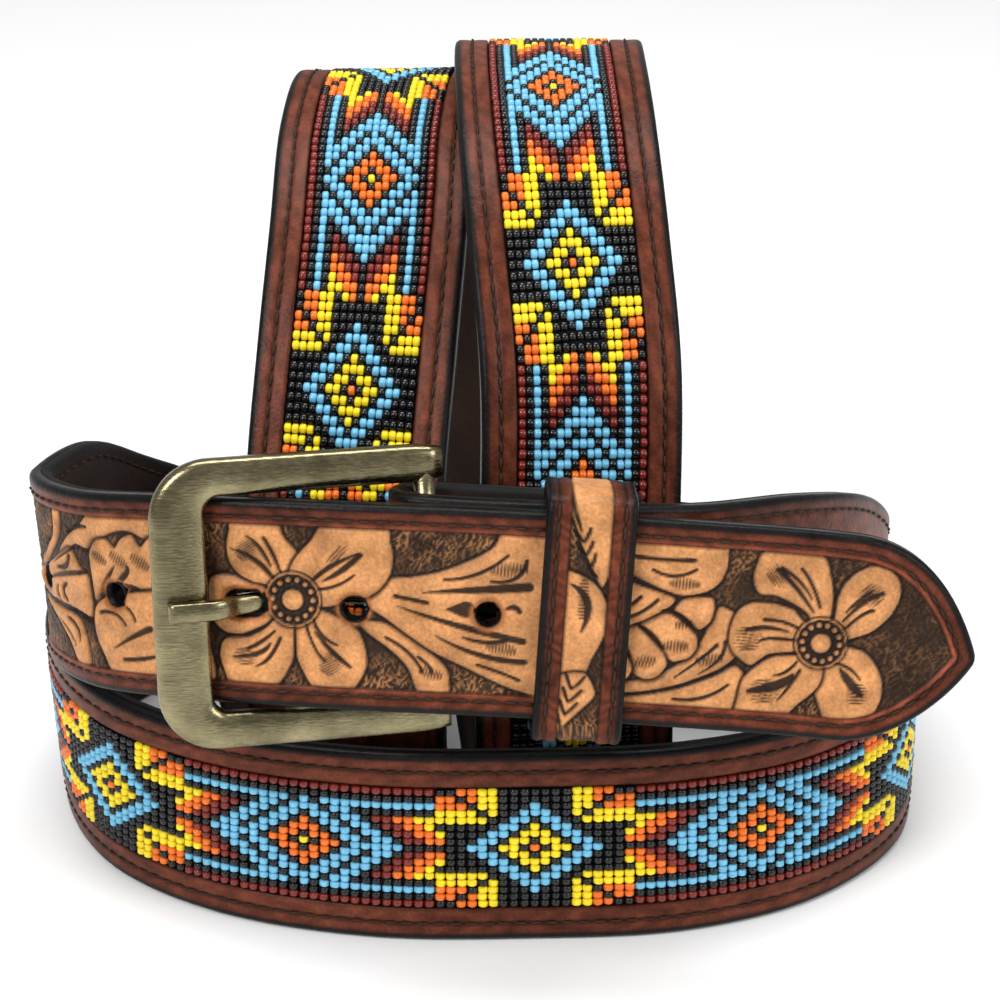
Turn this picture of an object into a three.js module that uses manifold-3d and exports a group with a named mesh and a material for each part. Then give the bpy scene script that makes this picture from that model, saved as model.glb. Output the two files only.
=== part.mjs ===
// Western belt, fastened on its buckle and coiled, standing on the edges of its strap.
// Millimetres, +Z up. The front of the coil faces -Y and the tip of the strap points to +X.

import * as THREE from 'three';
import { mergeVertices } from 'three/addons/utils/BufferGeometryUtils.js';
import Module from 'manifold-3d';

const wasm = await Module();
wasm.setup();

// Driving dimensions of the strap
const strapWidth = 38;
const faceThickness = 2.1;
const liningThickness = 1.9;
const bondGap = 0.3;
const marginWidth = 6.7;
const tipLength = 25;
const tipBlunt = 0.4;
// The tip's outline is a power curve: how round its flanks are and how sharp its point is
const tipFlank = 2.2;
const tipPoint = 0.85;
const tipBilletLength = 378;
const buckleBilletLength = 345;
const beadPanelThickness = 1.0;
const panelGap = 0.3;

// Holes for the prong, counted from the tip
const firstHoleFromTip = 88;
const holeSpacing = 23.7;
const holeCount = 5;
const holeDiameter = 4.6;
const prongHole = 2;

// Buckle, prong and keeper
const buckleLength = 53;
const armWidth = 6.8;
const armGap = 1;
const leftBarWidth = 10;
const buckleThickness = 4.4;
const buckleCorner = 11;
const buckleBevel = 1.2;
const innerCorner = 3;
const armOverrun = 3.2;
const pivotDiameter = 4;
const pivotEase = 0.5;
const seatGap = 0.4;
const leftBarSeat = 10.5;
const leftBarLift = 6;
const prongWidth = 3.6;
const prongThickness = 2.6;
const slotEase = 0.8;
const prongSlotLength = 15.6;
const prongDip = 1;
// Shares of the shank at which the prong dips, and of the left bar at which it lands and ends
const dipShare = 0.55;
const landingShare = 1.2;
const endShare = 0.5;
// Share of its thickness that the prong keeps round its ring
const ringShare = 0.8;
const keeperWidth = 16;
const keeperThickness = 2.2;
const keeperCorner = 2;
const keeperFromBar = 25;
const keeperEase = 1.5;
const foldReturn = 38;

// Size of the coil: the route's places are hundredths of it
const coilSize = 100;

// How finely the strap is stepped along its length
const stepLength = 9.2;
const foldStep = 3;
const tipSteps = 5;

// Route of the middle of the strap, from the tip to the buckle's bar.
// across, back and up are hundredths of coilSize, and lift adds half widths of the strap.
// edgeX, edgeY and edgeZ point to the strap's upper or right-hand edge.
const routeColumns = ['across', 'back', 'up', 'lift', 'edgeX', 'edgeY', 'edgeZ'];
const routeTable = [
  // tip billet across the front, from just beyond its tip
  [108, -8.5, 1.4, 3, 0, 0.21, 0.98],
  [84.5, -9, 5.3, 3, 0, 0.21, 0.98],
  [60, -10, 10.2, 3, 0, 0.21, 0.98],
  [30, -10, 12.9, 3, 0, 0.21, 0.98],
  [0, -10, 14.9, 3, 0, 0.21, 0.98],
  [-30, -8, 15.4, 3, 0, 0.21, 0.98],
  [-55.5, -1, 13.5, 3, 0, 0.19, 0.98],
  [-76.5, 14, 8, 3, 0, 0.08, 0.98],
  [-86, 33, 3.5, 3, -0.05, -0.03, 1],
  [-81.5, 52, 19, 2, -0.1, 0.05, 0.98],
  [-75.5, 70, 8, 2, 0, 0.2, 0.97],
  [-67, 83, 17, 1, 0.1, 0.2, 0.95],
  [-52, 86, 7, 1, 0.4, 0.1, 0.9],
  [-42, 74, 15, 0, 0.8, 0.1, 0.6],
  [-36, 54, 7.5, 0, 1, 0, 0.12],
  // left arch, rising at the front and falling behind the gap
  [-31, 34, 4, 0, 1, 0, 0],
  [-29, 18, 14, 0, 1, -0.1, 0],
  [-29, 13, 34, 0, 1, -0.17, 0],
  [-29, 18, 56, 0, 1, -0.17, 0],
  [-29, 28, 79, 0, 1, -0.17, 0],
  [-27, 40, 101, 0, 1, -0.15, 0],
  [-25, 57, 120, 0, 1, -0.12, 0],
  [-24, 80, 132, 0, 1, -0.04, 0],
  [-21.5, 104, 134.5, 0, 1, 0.04, 0],
  [-17, 123, 122, 0, 1, 0.1, 0],
  [-10, 121, 98, 0, 1, 0.1, 0],
  [-5, 109, 75, 0, 1, 0.1, 0],
  [1, 96, 52, 0, 1, 0.1, 0],
  [6, 82, 29, 0, 1, 0.1, 0],
  [10, 64, 11, 0, 1, 0.05, 0],
  // right arch, rising at the front and falling outside the coil
  [13, 42, 3.2, 0, 1, 0, 0],
  [14, 22, 10, 0, 1, 0.1, 0],
  [14, 14, 30, 0, 1, 0.17, 0],
  [14, 17, 53, 0, 1, 0.17, 0],
  [15, 24, 77, 0, 1, 0.17, 0],
  [15, 32, 101, 0, 1, 0.17, 0],
  [13, 45, 121, 0, 1, 0.15, 0],
  [11, 66, 136, 0, 1, 0.1, 0],
  [10, 91, 140.5, 0, 1, 0.04, 0],
  [10, 116, 137, 0, 1, 0, 0],
  [11, 135, 122, 0, 1, 0, 0],
  [12, 141, 98, 0, 1, 0.05, 0],
  [12, 140, 74, 0, 0.9, 0.4, 0],
  [12, 137, 50, 0, 0.55, 0.85, 0],
  [16, 132, 28, 0, 0.25, 0.95, 0],
  [30, 126, 11, 0, 0.15, 1, 0.05],
  [50, 115, 6.5, 0.3, 0, 0.9, 0.3],
  [69, 99, 3.5, 0.85, 0, 0.5, 0.8],
  [80, 79, 0.5, 1, 0, 0.1, 1],
  // wide loop standing on its edge
  [82, 55, 0, 1, 0, 0, 1],
  [77, 31, 0, 1, 0, 0.03, 1],
  [59.5, 11.5, 0, 1, 0, 0.06, 1],
  [35, 1.2, 0, 1, 0, 0.1, 0.99],
  [5, -1.5, 0, 1, 0, 0.1, 0.99],
  [-25, -0.8, 0, 1, 0, 0.1, 0.99],
  [-54, 7.5, 0, 1, 0, 0.08, 1],
  [-75.5, 23.5, 0, 1, -0.03, 0.05, 1],
  [-87, 47, 0, 1, -0.06, 0, 1],
  [-87.5, 73, 0, 1, -0.05, 0, 1],
  [-74, 97, 0, 1, 0, 0, 1],
  [-49, 111, 0, 1, 0, 0, 1],
  // buckle billet, rising behind the coil and crossing the front
  [-20, 112, 0.5, 1, 0, 0, 1],
  [8, 107, 2.5, 1, 0, 0, 1],
  [36, 95, 6, 1, 0, 0, 1],
  [59, 78, 10, 1, 0, 0.2, 1],
  [74.5, 56, -1, 2, 0, 0.3, 0.96],
  [69, 37, 14, 2, 0, 0.3, 0.95],
  [54.5, 17, 5, 3, 0, 0.22, 0.98],
  [34, 1, 10.6, 3, 0, 0.21, 0.98],
  [10, -4.4, 13.6, 3, 0, 0.21, 0.98],
  [-13, -4.2, 14.8, 3, 0, 0.21, 0.98],
];

// Sizes that follow from the ones above
const halfWidth = strapWidth / 2;
const strapThickness = faceThickness + bondGap + liningThickness;
const faceOuter = strapThickness / 2;
const faceInner = faceOuter - faceThickness;
const liningInner = -strapThickness / 2;
const cutDepth = 3 * strapThickness;
const liningOuter = liningInner + liningThickness;
const windowShare = (halfWidth - marginWidth) / halfWidth;
const panelShare = (halfWidth - marginWidth - panelGap) / halfWidth;
const foldRadius = pivotDiameter / 2 + seatGap + pivotEase + strapThickness / 2;

const leather = { color: 0x5a2c1c, roughness: 0.55, metalness: 0 };
const lining = { color: 0x2a1a14, roughness: 0.8, metalness: 0 };
const beadBase = { color: 0x0c0c0e, roughness: 0.4, metalness: 0 };
const brass = { color: 0x8a7a4e, roughness: 0.35, metalness: 1 };

function named(name, geometry, look) {
  const mesh = new THREE.Mesh(geometry, new THREE.MeshStandardMaterial(look));
  mesh.name = name;
  return mesh;
}

function readRoute() {
  return routeTable.map((cells) => {
    const row = Object.fromEntries(routeColumns.map((column, i) => [column, cells[i]]));
    const share = coilSize / 100;
    const height = row.up * share + row.lift * halfWidth;
    return {
      place: new THREE.Vector3(row.across * share, row.back * share, height),
      edge: new THREE.Vector3(row.edgeX, row.edgeY, row.edgeZ).normalize(),
    };
  });
}

// Adds the fold round the buckle's bar and the short leg that returns behind the billet
function addFold(route) {
  const end = route.at(-1);
  const heading = end.place.clone().sub(route.at(-2).place).normalize();
  const outward = end.edge.clone().cross(heading).normalize();
  const bar = end.place.clone().addScaledVector(outward, -foldRadius);
  const foldSteps = 4;
  for (let i = 1; i <= foldSteps; i++) {
    const angle = (Math.PI * i) / foldSteps;
    const place = bar.clone()
      .addScaledVector(outward, foldRadius * Math.cos(angle))
      .addScaledVector(heading, foldRadius * Math.sin(angle));
    route.push({ place, edge: end.edge.clone() });
  }
  const back = route.at(-1).place;
  for (const share of [0.5, 1]) {
    const place = back.clone().addScaledVector(heading, -foldReturn * share);
    route.push({ place, edge: end.edge.clone() });
  }
  return bar;
}

const route = readRoute();
const barPlace = addFold(route);

// Smooth curves through the route: one for the middle line, one for the edge direction
const middle = new THREE.CatmullRomCurve3(route.map((row) => row.place), false, 'centripetal');
const finePieces = 24;
const fineCount = (route.length - 1) * finePieces;
const fine = [];
for (let i = 0; i <= fineCount; i++) {
  const along = i / fineCount;
  const between = along * (route.length - 1);
  const row = Math.min(Math.floor(between), route.length - 2);
  const place = middle.getPoint(along);
  const edge = route[row].edge.clone().lerp(route[row + 1].edge, between - row);
  const length = i === 0 ? 0 : fine[i - 1].length + place.distanceTo(fine[i - 1].place);
  fine.push({ place, edge, length });
}

// The buckle reaches from its bar to its left bar, which decides where the prong's hole and so
// the tip of the strap lie on the route
const prongLength = firstHoleFromTip + prongHole * holeSpacing;
const leftBarReach = buckleLength - armOverrun - leftBarWidth / 2;
const seatPoint = fine.find((point) => barPlace.x - point.place.x >= leftBarReach);
const slide = seatPoint.length - prongLength - leftBarSeat;
fine.forEach((point) => {
  point.length -= slide;
});
const totalLength = fine.at(-1).length;

// Middle, heading, edge and outward directions at a length along the strap
function frameAt(length) {
  const wanted = THREE.MathUtils.clamp(length, 0, totalLength);
  let high = fine.findIndex((point) => point.length >= wanted);
  high = Math.max(high, 1);
  const before = fine[high - 1];
  const after = fine[high];
  const share = (wanted - before.length) / (after.length - before.length);
  const place = before.place.clone().lerp(after.place, share);
  const heading = after.place.clone().sub(before.place).normalize();
  const edge = before.edge.clone().lerp(after.edge, share);
  edge.addScaledVector(heading, -edge.dot(heading)).normalize();
  const outward = edge.clone().cross(heading);
  return { place, heading, edge, outward };
}

function halfWidthAt(length) {
  if (length >= tipLength) return halfWidth;
  const share = 1 - length / tipLength;
  return halfWidth * (1 - share ** tipFlank) ** tipPoint;
}

// Lengths at which the strap has a section, with one at each end of the bead window
const beadStart = tipBilletLength;
const beadEnd = totalLength - buckleBilletLength;

function evenSteps(from, to, step) {
  const count = Math.ceil((to - from) / step);
  return Array.from({ length: count }, (unused, i) => from + ((to - from) * i) / count);
}

const tipLengths = Array.from({ length: tipSteps }, (unused, i) => {
  return tipBlunt + (tipLength - tipBlunt) * (i / tipSteps) ** 2;
});
const foldStart = totalLength - foldReturn - Math.PI * foldRadius - foldStep;
const sections = [
  ...tipLengths,
  ...evenSteps(tipLength, beadStart, stepLength),
  ...evenSteps(beadStart, beadEnd, stepLength),
  ...evenSteps(beadEnd, foldStart, stepLength),
  ...evenSteps(foldStart, totalLength - foldReturn, foldStep),
  ...evenSteps(totalLength - foldReturn, totalLength, stepLength),
  totalLength,
];

// One closed layer of the strap. columns are shares of the half width, and isOpen says which
// cells of the grid are left out.
function strapLayer(lengths, columns, inner, outer, isOpen) {
  const positions = [];
  const indices = [];
  const wide = columns.length;
  lengths.forEach((length) => {
    const frame = frameAt(length);
    const half = halfWidthAt(length);
    for (const offset of [inner, outer]) {
      for (const column of columns) {
        const point = frame.place.clone()
          .addScaledVector(frame.edge, column * half)
          .addScaledVector(frame.outward, offset);
        positions.push(point.x, point.y, point.z);
      }
    }
  });
  const at = (i, j, side) => i * wide * 2 + side * wide + j;
  const rows = lengths.length - 1;
  const filled = (i, j) => {
    const inside = i >= 0 && i < rows && j >= 0 && j < wide - 1;
    return inside && !isOpen(lengths[i], lengths[i + 1], columns[j], columns[j + 1]);
  };
  const triangle = (a, b, c) => indices.push(a, c, b);
  const quad = (a, b, c, d) => {
    triangle(a, b, c);
    triangle(a, c, d);
  };
  for (let i = 0; i < rows; i++) {
    for (let j = 0; j < wide - 1; j++) {
      if (!filled(i, j)) continue;
      triangle(at(i, j, 1), at(i + 1, j, 1), at(i + 1, j + 1, 1));
      triangle(at(i, j, 1), at(i + 1, j + 1, 1), at(i, j + 1, 1));
      triangle(at(i, j, 0), at(i + 1, j + 1, 0), at(i + 1, j, 0));
      triangle(at(i, j, 0), at(i, j + 1, 0), at(i + 1, j + 1, 0));
      if (!filled(i, j - 1)) quad(at(i, j, 0), at(i + 1, j, 0), at(i + 1, j, 1), at(i, j, 1));
      if (!filled(i, j + 1)) {
        quad(at(i, j + 1, 0), at(i, j + 1, 1), at(i + 1, j + 1, 1), at(i + 1, j + 1, 0));
      }
      if (!filled(i - 1, j)) quad(at(i, j, 0), at(i, j, 1), at(i, j + 1, 1), at(i, j + 1, 0));
      if (!filled(i + 1, j)) {
        quad(at(i + 1, j, 0), at(i + 1, j + 1, 0), at(i + 1, j + 1, 1), at(i + 1, j, 1));
      }
    }
  }
  const geometry = new THREE.BufferGeometry();
  geometry.setAttribute('position', new THREE.Float32BufferAttribute(positions, 3));
  geometry.setIndex(indices);
  return geometry;
}

// Solids for cutting and joining
function toSolid(geometry) {
  const bare = geometry.clone();
  bare.deleteAttribute('normal');
  bare.deleteAttribute('uv');
  const merged = mergeVertices(bare, 1e-4);
  return new wasm.Manifold(new wasm.Mesh({
    numProp: 3,
    vertProperties: new Float32Array(merged.attributes.position.array),
    triVerts: new Uint32Array(merged.index.array),
  }));
}

function toGeometry(solid) {
  const mesh = solid.getMesh();
  const geometry = new THREE.BufferGeometry();
  geometry.setAttribute('position', new THREE.Float32BufferAttribute(mesh.vertProperties, 3));
  geometry.setIndex(Array.from(mesh.triVerts));
  return geometry;
}

// Matrix that puts x back along the strap, y along its edge direction and z outward
function frameMatrix(frame, origin) {
  const backward = frame.heading.clone().negate();
  const matrix = new THREE.Matrix4().makeBasis(backward, frame.edge, frame.outward);
  return matrix.setPosition(origin ?? frame.place);
}

function punch(length) {
  const sides = 12;
    const cylinder = new THREE.CylinderGeometry(holeDiameter / 2, holeDiameter / 2, cutDepth, sides);
  cylinder.rotateX(Math.PI / 2);
  return toSolid(cylinder.applyMatrix4(frameMatrix(frameAt(length))));
}

function slot(frame, origin, length, width, depth) {
  const box = new THREE.BoxGeometry(length, width, depth);
  return toSolid(box.applyMatrix4(frameMatrix(frame, origin)));
}

// The buckle's frame of reference: its bar at x = 0, its left bar at negative x, y to the top
// and z outward
const tipFrame = frameAt(prongLength);
const barFrame = frameAt(foldStart);
const outerBar = frameAt(prongLength + leftBarSeat);
const leftBarPlace = outerBar.place.clone()
  .addScaledVector(outerBar.outward, faceOuter + seatGap + leftBarLift + buckleThickness / 2);
const buckleUp = tipFrame.edge.clone();
const buckleAim = barPlace.clone().sub(leftBarPlace);
buckleAim.addScaledVector(buckleUp, -buckleAim.dot(buckleUp)).normalize();
const buckleOut = buckleAim.clone().cross(buckleUp).normalize();
const buckleMatrix = new THREE.Matrix4().makeBasis(buckleAim, buckleUp, buckleOut);
const buckleOrigin = barPlace.clone();
const levelFrame = frameAt(prongLength - holeSpacing / 2);
const buckleLift = levelFrame.place.clone().sub(barPlace).dot(buckleUp);
buckleOrigin.addScaledVector(buckleUp, buckleLift);
buckleMatrix.setPosition(buckleOrigin);

// Frame of the buckle: two arms and a rounded left bar, joined by the bar that it hangs on
function makeBuckleFrame() {
  const halfHeight = halfWidth + armGap + armWidth;
  const left = armOverrun - buckleLength;
  const innerLeft = left + leftBarWidth;
  const innerHalf = halfHeight - armWidth;
  const outerTurn = left + buckleCorner;
  const innerTurn = innerLeft + innerCorner;
  const quarter = Math.PI / 2;
  const outline = new THREE.Shape();
  outline.moveTo(armOverrun, halfHeight);
  outline.lineTo(outerTurn, halfHeight);
  outline.absarc(outerTurn, halfHeight - buckleCorner, buckleCorner, quarter, 2 * quarter);
  outline.absarc(outerTurn, buckleCorner - halfHeight, buckleCorner, 2 * quarter, 3 * quarter);
  outline.lineTo(armOverrun, -halfHeight);
  outline.lineTo(armOverrun, -innerHalf);
  outline.lineTo(innerTurn, -innerHalf);
  outline.absarc(innerTurn, innerCorner - innerHalf, innerCorner, 3 * quarter, 2 * quarter, true);
  outline.absarc(innerTurn, innerHalf - innerCorner, innerCorner, 2 * quarter, quarter, true);
  outline.lineTo(armOverrun, innerHalf);
  outline.closePath();
  const body = new THREE.ExtrudeGeometry(outline, {
    depth: buckleThickness - 2 * buckleBevel,
    bevelEnabled: true,
    bevelThickness: buckleBevel,
    bevelSize: buckleBevel,
    bevelOffset: -buckleBevel,
    bevelSegments: 2,
    curveSegments: 6,
  });
  body.translate(0, 0, buckleBevel - buckleThickness / 2);
  const barSides = 12;
  const bar = new THREE.CylinderGeometry(
    pivotDiameter / 2, pivotDiameter / 2, 2 * innerHalf + armWidth, barSides);
  return toGeometry(toSolid(body).add(toSolid(bar)));
}

// Prong: a ring on the bar, a shank behind the strap, a rise through its hole and a flat end
const prongRing = pivotDiameter / 2 + seatGap;
function makeProng() {
  const inverse = buckleMatrix.clone().invert();
  const local = (length, offset) => {
    const frame = frameAt(length);
    return frame.place.clone().addScaledVector(frame.outward, offset).applyMatrix4(inverse);
  };
  const half = prongThickness / 2;
  const seat = buckleThickness / 2 + seatGap + half;
  const behind = local(prongLength - holeDiameter / 2, -half);
  const front = local(prongLength + holeDiameter / 2, half);
  const endReach = armOverrun - buckleLength + leftBarWidth * endShare;
  const seatReach = armOverrun - buckleLength + leftBarWidth * landingShare;
  const spine = [
    new THREE.Vector2(0, prongRing + half),
    new THREE.Vector2(behind.x * dipShare, Math.min(behind.z - prongDip, prongRing + half)),
    new THREE.Vector2(behind.x, behind.z),
    new THREE.Vector2(front.x, front.z),
    new THREE.Vector2(seatReach, seat),
    new THREE.Vector2(endReach, seat),
  ];
  const upper = spine.map((point, i) => {
    const before = spine[Math.max(i - 1, 0)];
    const after = spine[Math.min(i + 1, spine.length - 1)];
    const run = after.clone().sub(before).normalize();
    return point.clone().add(new THREE.Vector2(-run.y, run.x).multiplyScalar(half));
  });
  const lower = spine.map((point, i) => point.clone().multiplyScalar(2).sub(upper[i]));
  const side = new THREE.Shape([...upper, ...lower.reverse()]);
  const shank = new THREE.ExtrudeGeometry(side, { depth: prongWidth, bevelEnabled: false });
  shank.translate(0, 0, -prongWidth / 2);
  shank.rotateX(Math.PI / 2);
  const ringSides = 16;
  const ringOuter = prongRing + prongThickness * ringShare;
  const ring = new THREE.CylinderGeometry(ringOuter, ringOuter, prongWidth, ringSides);
  const bore = new THREE.CylinderGeometry(prongRing, prongRing, prongWidth * 2, ringSides);
  return toGeometry(toSolid(ring).add(toSolid(shank)).subtract(toSolid(bore)));
}

// Keeper: a loop of leather round both straps
function makeKeeper() {
  const shape = (grow) => {
    const high = halfWidth + keeperSlack + grow;
    const front = keeperFront + grow;
    const rear = keeperRear - grow;
    const corner = Math.min(keeperCorner + grow, (front - rear) / 2);
    const path = new THREE.Shape();
    path.moveTo(rear + corner, -high);
    path.lineTo(front - corner, -high);
    path.absarc(front - corner, corner - high, corner, -Math.PI / 2, 0);
    path.absarc(front - corner, high - corner, corner, 0, Math.PI / 2);
    path.absarc(rear + corner, high - corner, corner, Math.PI / 2, Math.PI);
    path.absarc(rear + corner, corner - high, corner, Math.PI, Math.PI * 1.5);
    return path;
  };
  const outline = shape(keeperThickness);
  outline.holes.push(shape(0));
  const loop = new THREE.ExtrudeGeometry(outline, {
    depth: keeperWidth,
    bevelEnabled: false,
    curveSegments: 3,
    steps: 2,
  });
  loop.translate(0, 0, -keeperWidth / 2);
  const turn = new THREE.Matrix4().makeBasis(
    keeperFrame.outward, keeperFrame.edge, keeperFrame.heading);
  return loop.applyMatrix4(turn.setPosition(keeperPlace));
}

// The keeper lies a set way behind the bar, and spans from the tip strap to the billet
const keeperLength = totalLength - foldReturn - Math.PI * foldRadius - keeperFromBar;
const billetFrame = frameAt(keeperLength);
const keeperOnTip = fine
  .filter((point) => point.length < tipBilletLength / 2)
  .reduce((best, point) => {
    const gap = Math.abs(point.place.x - billetFrame.place.x);
    return gap < Math.abs(best.place.x - billetFrame.place.x) ? point : best;
  });
const keeperFrame = frameAt(keeperOnTip.length);
const billetOffset = billetFrame.place.clone().sub(keeperFrame.place);
const keeperShift = billetOffset.dot(keeperFrame.edge) / 2;
const keeperSlack = Math.abs(keeperShift) + seatGap + keeperEase;
const keeperFront = faceOuter + seatGap * 2;
const keeperRear = billetOffset.dot(keeperFrame.outward) - faceOuter - seatGap - keeperEase;
const keeperPlace = keeperFrame.place.clone().addScaledVector(keeperFrame.edge, keeperShift);

// Strap layers
const columns = [-1, -windowShare, 0, windowShare, 1];
const inWindow = (from, to, left, right) => {
  const along = from >= beadStart - 0.01 && to <= beadEnd + 0.01;
  return along && Math.abs(left + right) / 2 < windowShare;
};
const cutters = [];
for (let i = 0; i < holeCount; i++) {
  if (i !== prongHole) cutters.push(punch(firstHoleFromTip + i * holeSpacing));
}
const slotWidth = prongWidth + 2 * slotEase;
cutters.push(slot(tipFrame, null, prongSlotLength, slotWidth, cutDepth));
const foldSlotSize = 4 * foldRadius;
cutters.push(slot(barFrame, buckleOrigin, foldSlotSize, slotWidth, foldSlotSize));
const cutter = cutters.reduce((all, one) => all.add(one));

const face = strapLayer(sections, columns, faceInner, faceOuter, inWindow);
const back = strapLayer(sections, columns, liningInner, liningOuter, () => false);
const panelLengths = sections.filter((length) => length > beadStart && length < beadEnd);
panelLengths.unshift(beadStart + panelGap);
panelLengths.push(beadEnd - panelGap);
const panelColumns = [-panelShare, 0, panelShare];
const panelOuter = faceInner + beadPanelThickness;
const panel = strapLayer(panelLengths, panelColumns, faceInner, panelOuter, () => false);

const belt = new THREE.Group();
belt.add(named('strap_face', toGeometry(toSolid(face).subtract(cutter)), leather));
belt.add(named('strap_lining', toGeometry(toSolid(back).subtract(cutter)), lining));
belt.add(named('bead_panel', panel, beadBase));
belt.add(named('buckle_frame', makeBuckleFrame().applyMatrix4(buckleMatrix), brass));
belt.add(named('buckle_prong', makeProng().applyMatrix4(buckleMatrix), brass));
belt.add(named('keeper_loop', makeKeeper(), leather));

// The origin is the middle of the belt's footprint, on the surface that it stands on
const box = new THREE.Box3().setFromObject(belt);
const centre = box.getCenter(new THREE.Vector3());
belt.position.set(-centre.x, -centre.y, -box.min.z);

export default belt;
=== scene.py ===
"""Western belt with beadwork: the looks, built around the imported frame.

The strap is worked out in millimetres along its route and turned into metres when a mesh is made.
Places on the strap are "along" (from the tip), "up" (towards its upper edge) and "out" (off its
face).
"""

import math

import bpy
import numpy as np
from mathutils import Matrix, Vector


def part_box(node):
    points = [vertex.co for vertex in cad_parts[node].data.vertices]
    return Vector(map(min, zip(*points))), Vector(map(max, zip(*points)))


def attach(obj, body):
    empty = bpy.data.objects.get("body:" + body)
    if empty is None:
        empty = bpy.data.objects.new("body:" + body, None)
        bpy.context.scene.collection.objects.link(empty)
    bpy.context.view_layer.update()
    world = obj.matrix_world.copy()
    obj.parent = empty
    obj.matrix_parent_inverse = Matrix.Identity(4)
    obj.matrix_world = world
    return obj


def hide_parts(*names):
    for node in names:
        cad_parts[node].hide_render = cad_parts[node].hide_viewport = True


METRE = 0.001

# Sizes of the strap, in millimetres
STRAP_WIDTH = 38.0
HALF_WIDTH = STRAP_WIDTH / 2
FACE_THICKNESS = 2.1
LINING_THICKNESS = 1.9
BOND_GAP = 0.3
MARGIN_WIDTH = 6.7
TIP_LENGTH = 25.0
TIP_BLUNT = 0.4
TIP_FLANK = 2.2
TIP_POINT = 0.85
TIP_BILLET_LENGTH = 378.0
BUCKLE_BILLET_LENGTH = 345.0
STRAP_THICKNESS = FACE_THICKNESS + BOND_GAP + LINING_THICKNESS
FACE_OUTER = STRAP_THICKNESS / 2
FACE_INNER = FACE_OUTER - FACE_THICKNESS
LINING_INNER = -STRAP_THICKNESS / 2
LINING_OUTER = LINING_INNER + LINING_THICKNESS
PANEL_OUTER = FACE_INNER + 1.0

# Holes for the prong, counted from the tip
FIRST_HOLE = 88.0
HOLE_SPACING = 23.7
HOLE_COUNT = 5
HOLE_RADIUS = 2.3
PRONG_HOLE = 2
PRONG_ALONG = FIRST_HOLE + PRONG_HOLE * HOLE_SPACING
PRONG_SLOT_HALF = 1.4
PRONG_SLOT_SHIFT = -4.0
SLOT_RADIUS = 2.5

# Buckle, prong and keeper
BUCKLE_LENGTH = 53.0
ARM_WIDTH = 6.8
ARM_GAP = 1.0
LEFT_BAR_WIDTH = 10.0
BUCKLE_THICKNESS = 4.4
BUCKLE_CORNER = 11.0
INNER_CORNER = 3.0
ARM_OVERRUN = 3.2
PIVOT_RADIUS = 2.0
PIVOT_EASE = 0.5
SEAT_GAP = 0.4
LEFT_BAR_SEAT = 10.5
LEFT_BAR_LIFT = 6.0
PRONG_WIDTH = 3.6
PRONG_THICKNESS = 2.6
KEEPER_WIDTH = 16.0
KEEPER_THICKNESS = 2.2
KEEPER_FROM_BAR = 25.0
KEEPER_EASE = 1.5
FOLD_RETURN = 38.0
FOLD_STEP = 3.0
FOLD_RADIUS = PIVOT_RADIUS + SEAT_GAP + PIVOT_EASE + STRAP_THICKNESS / 2

# Size of the coil: the route's places are hundredths of it
COIL_SIZE = 100.0

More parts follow.
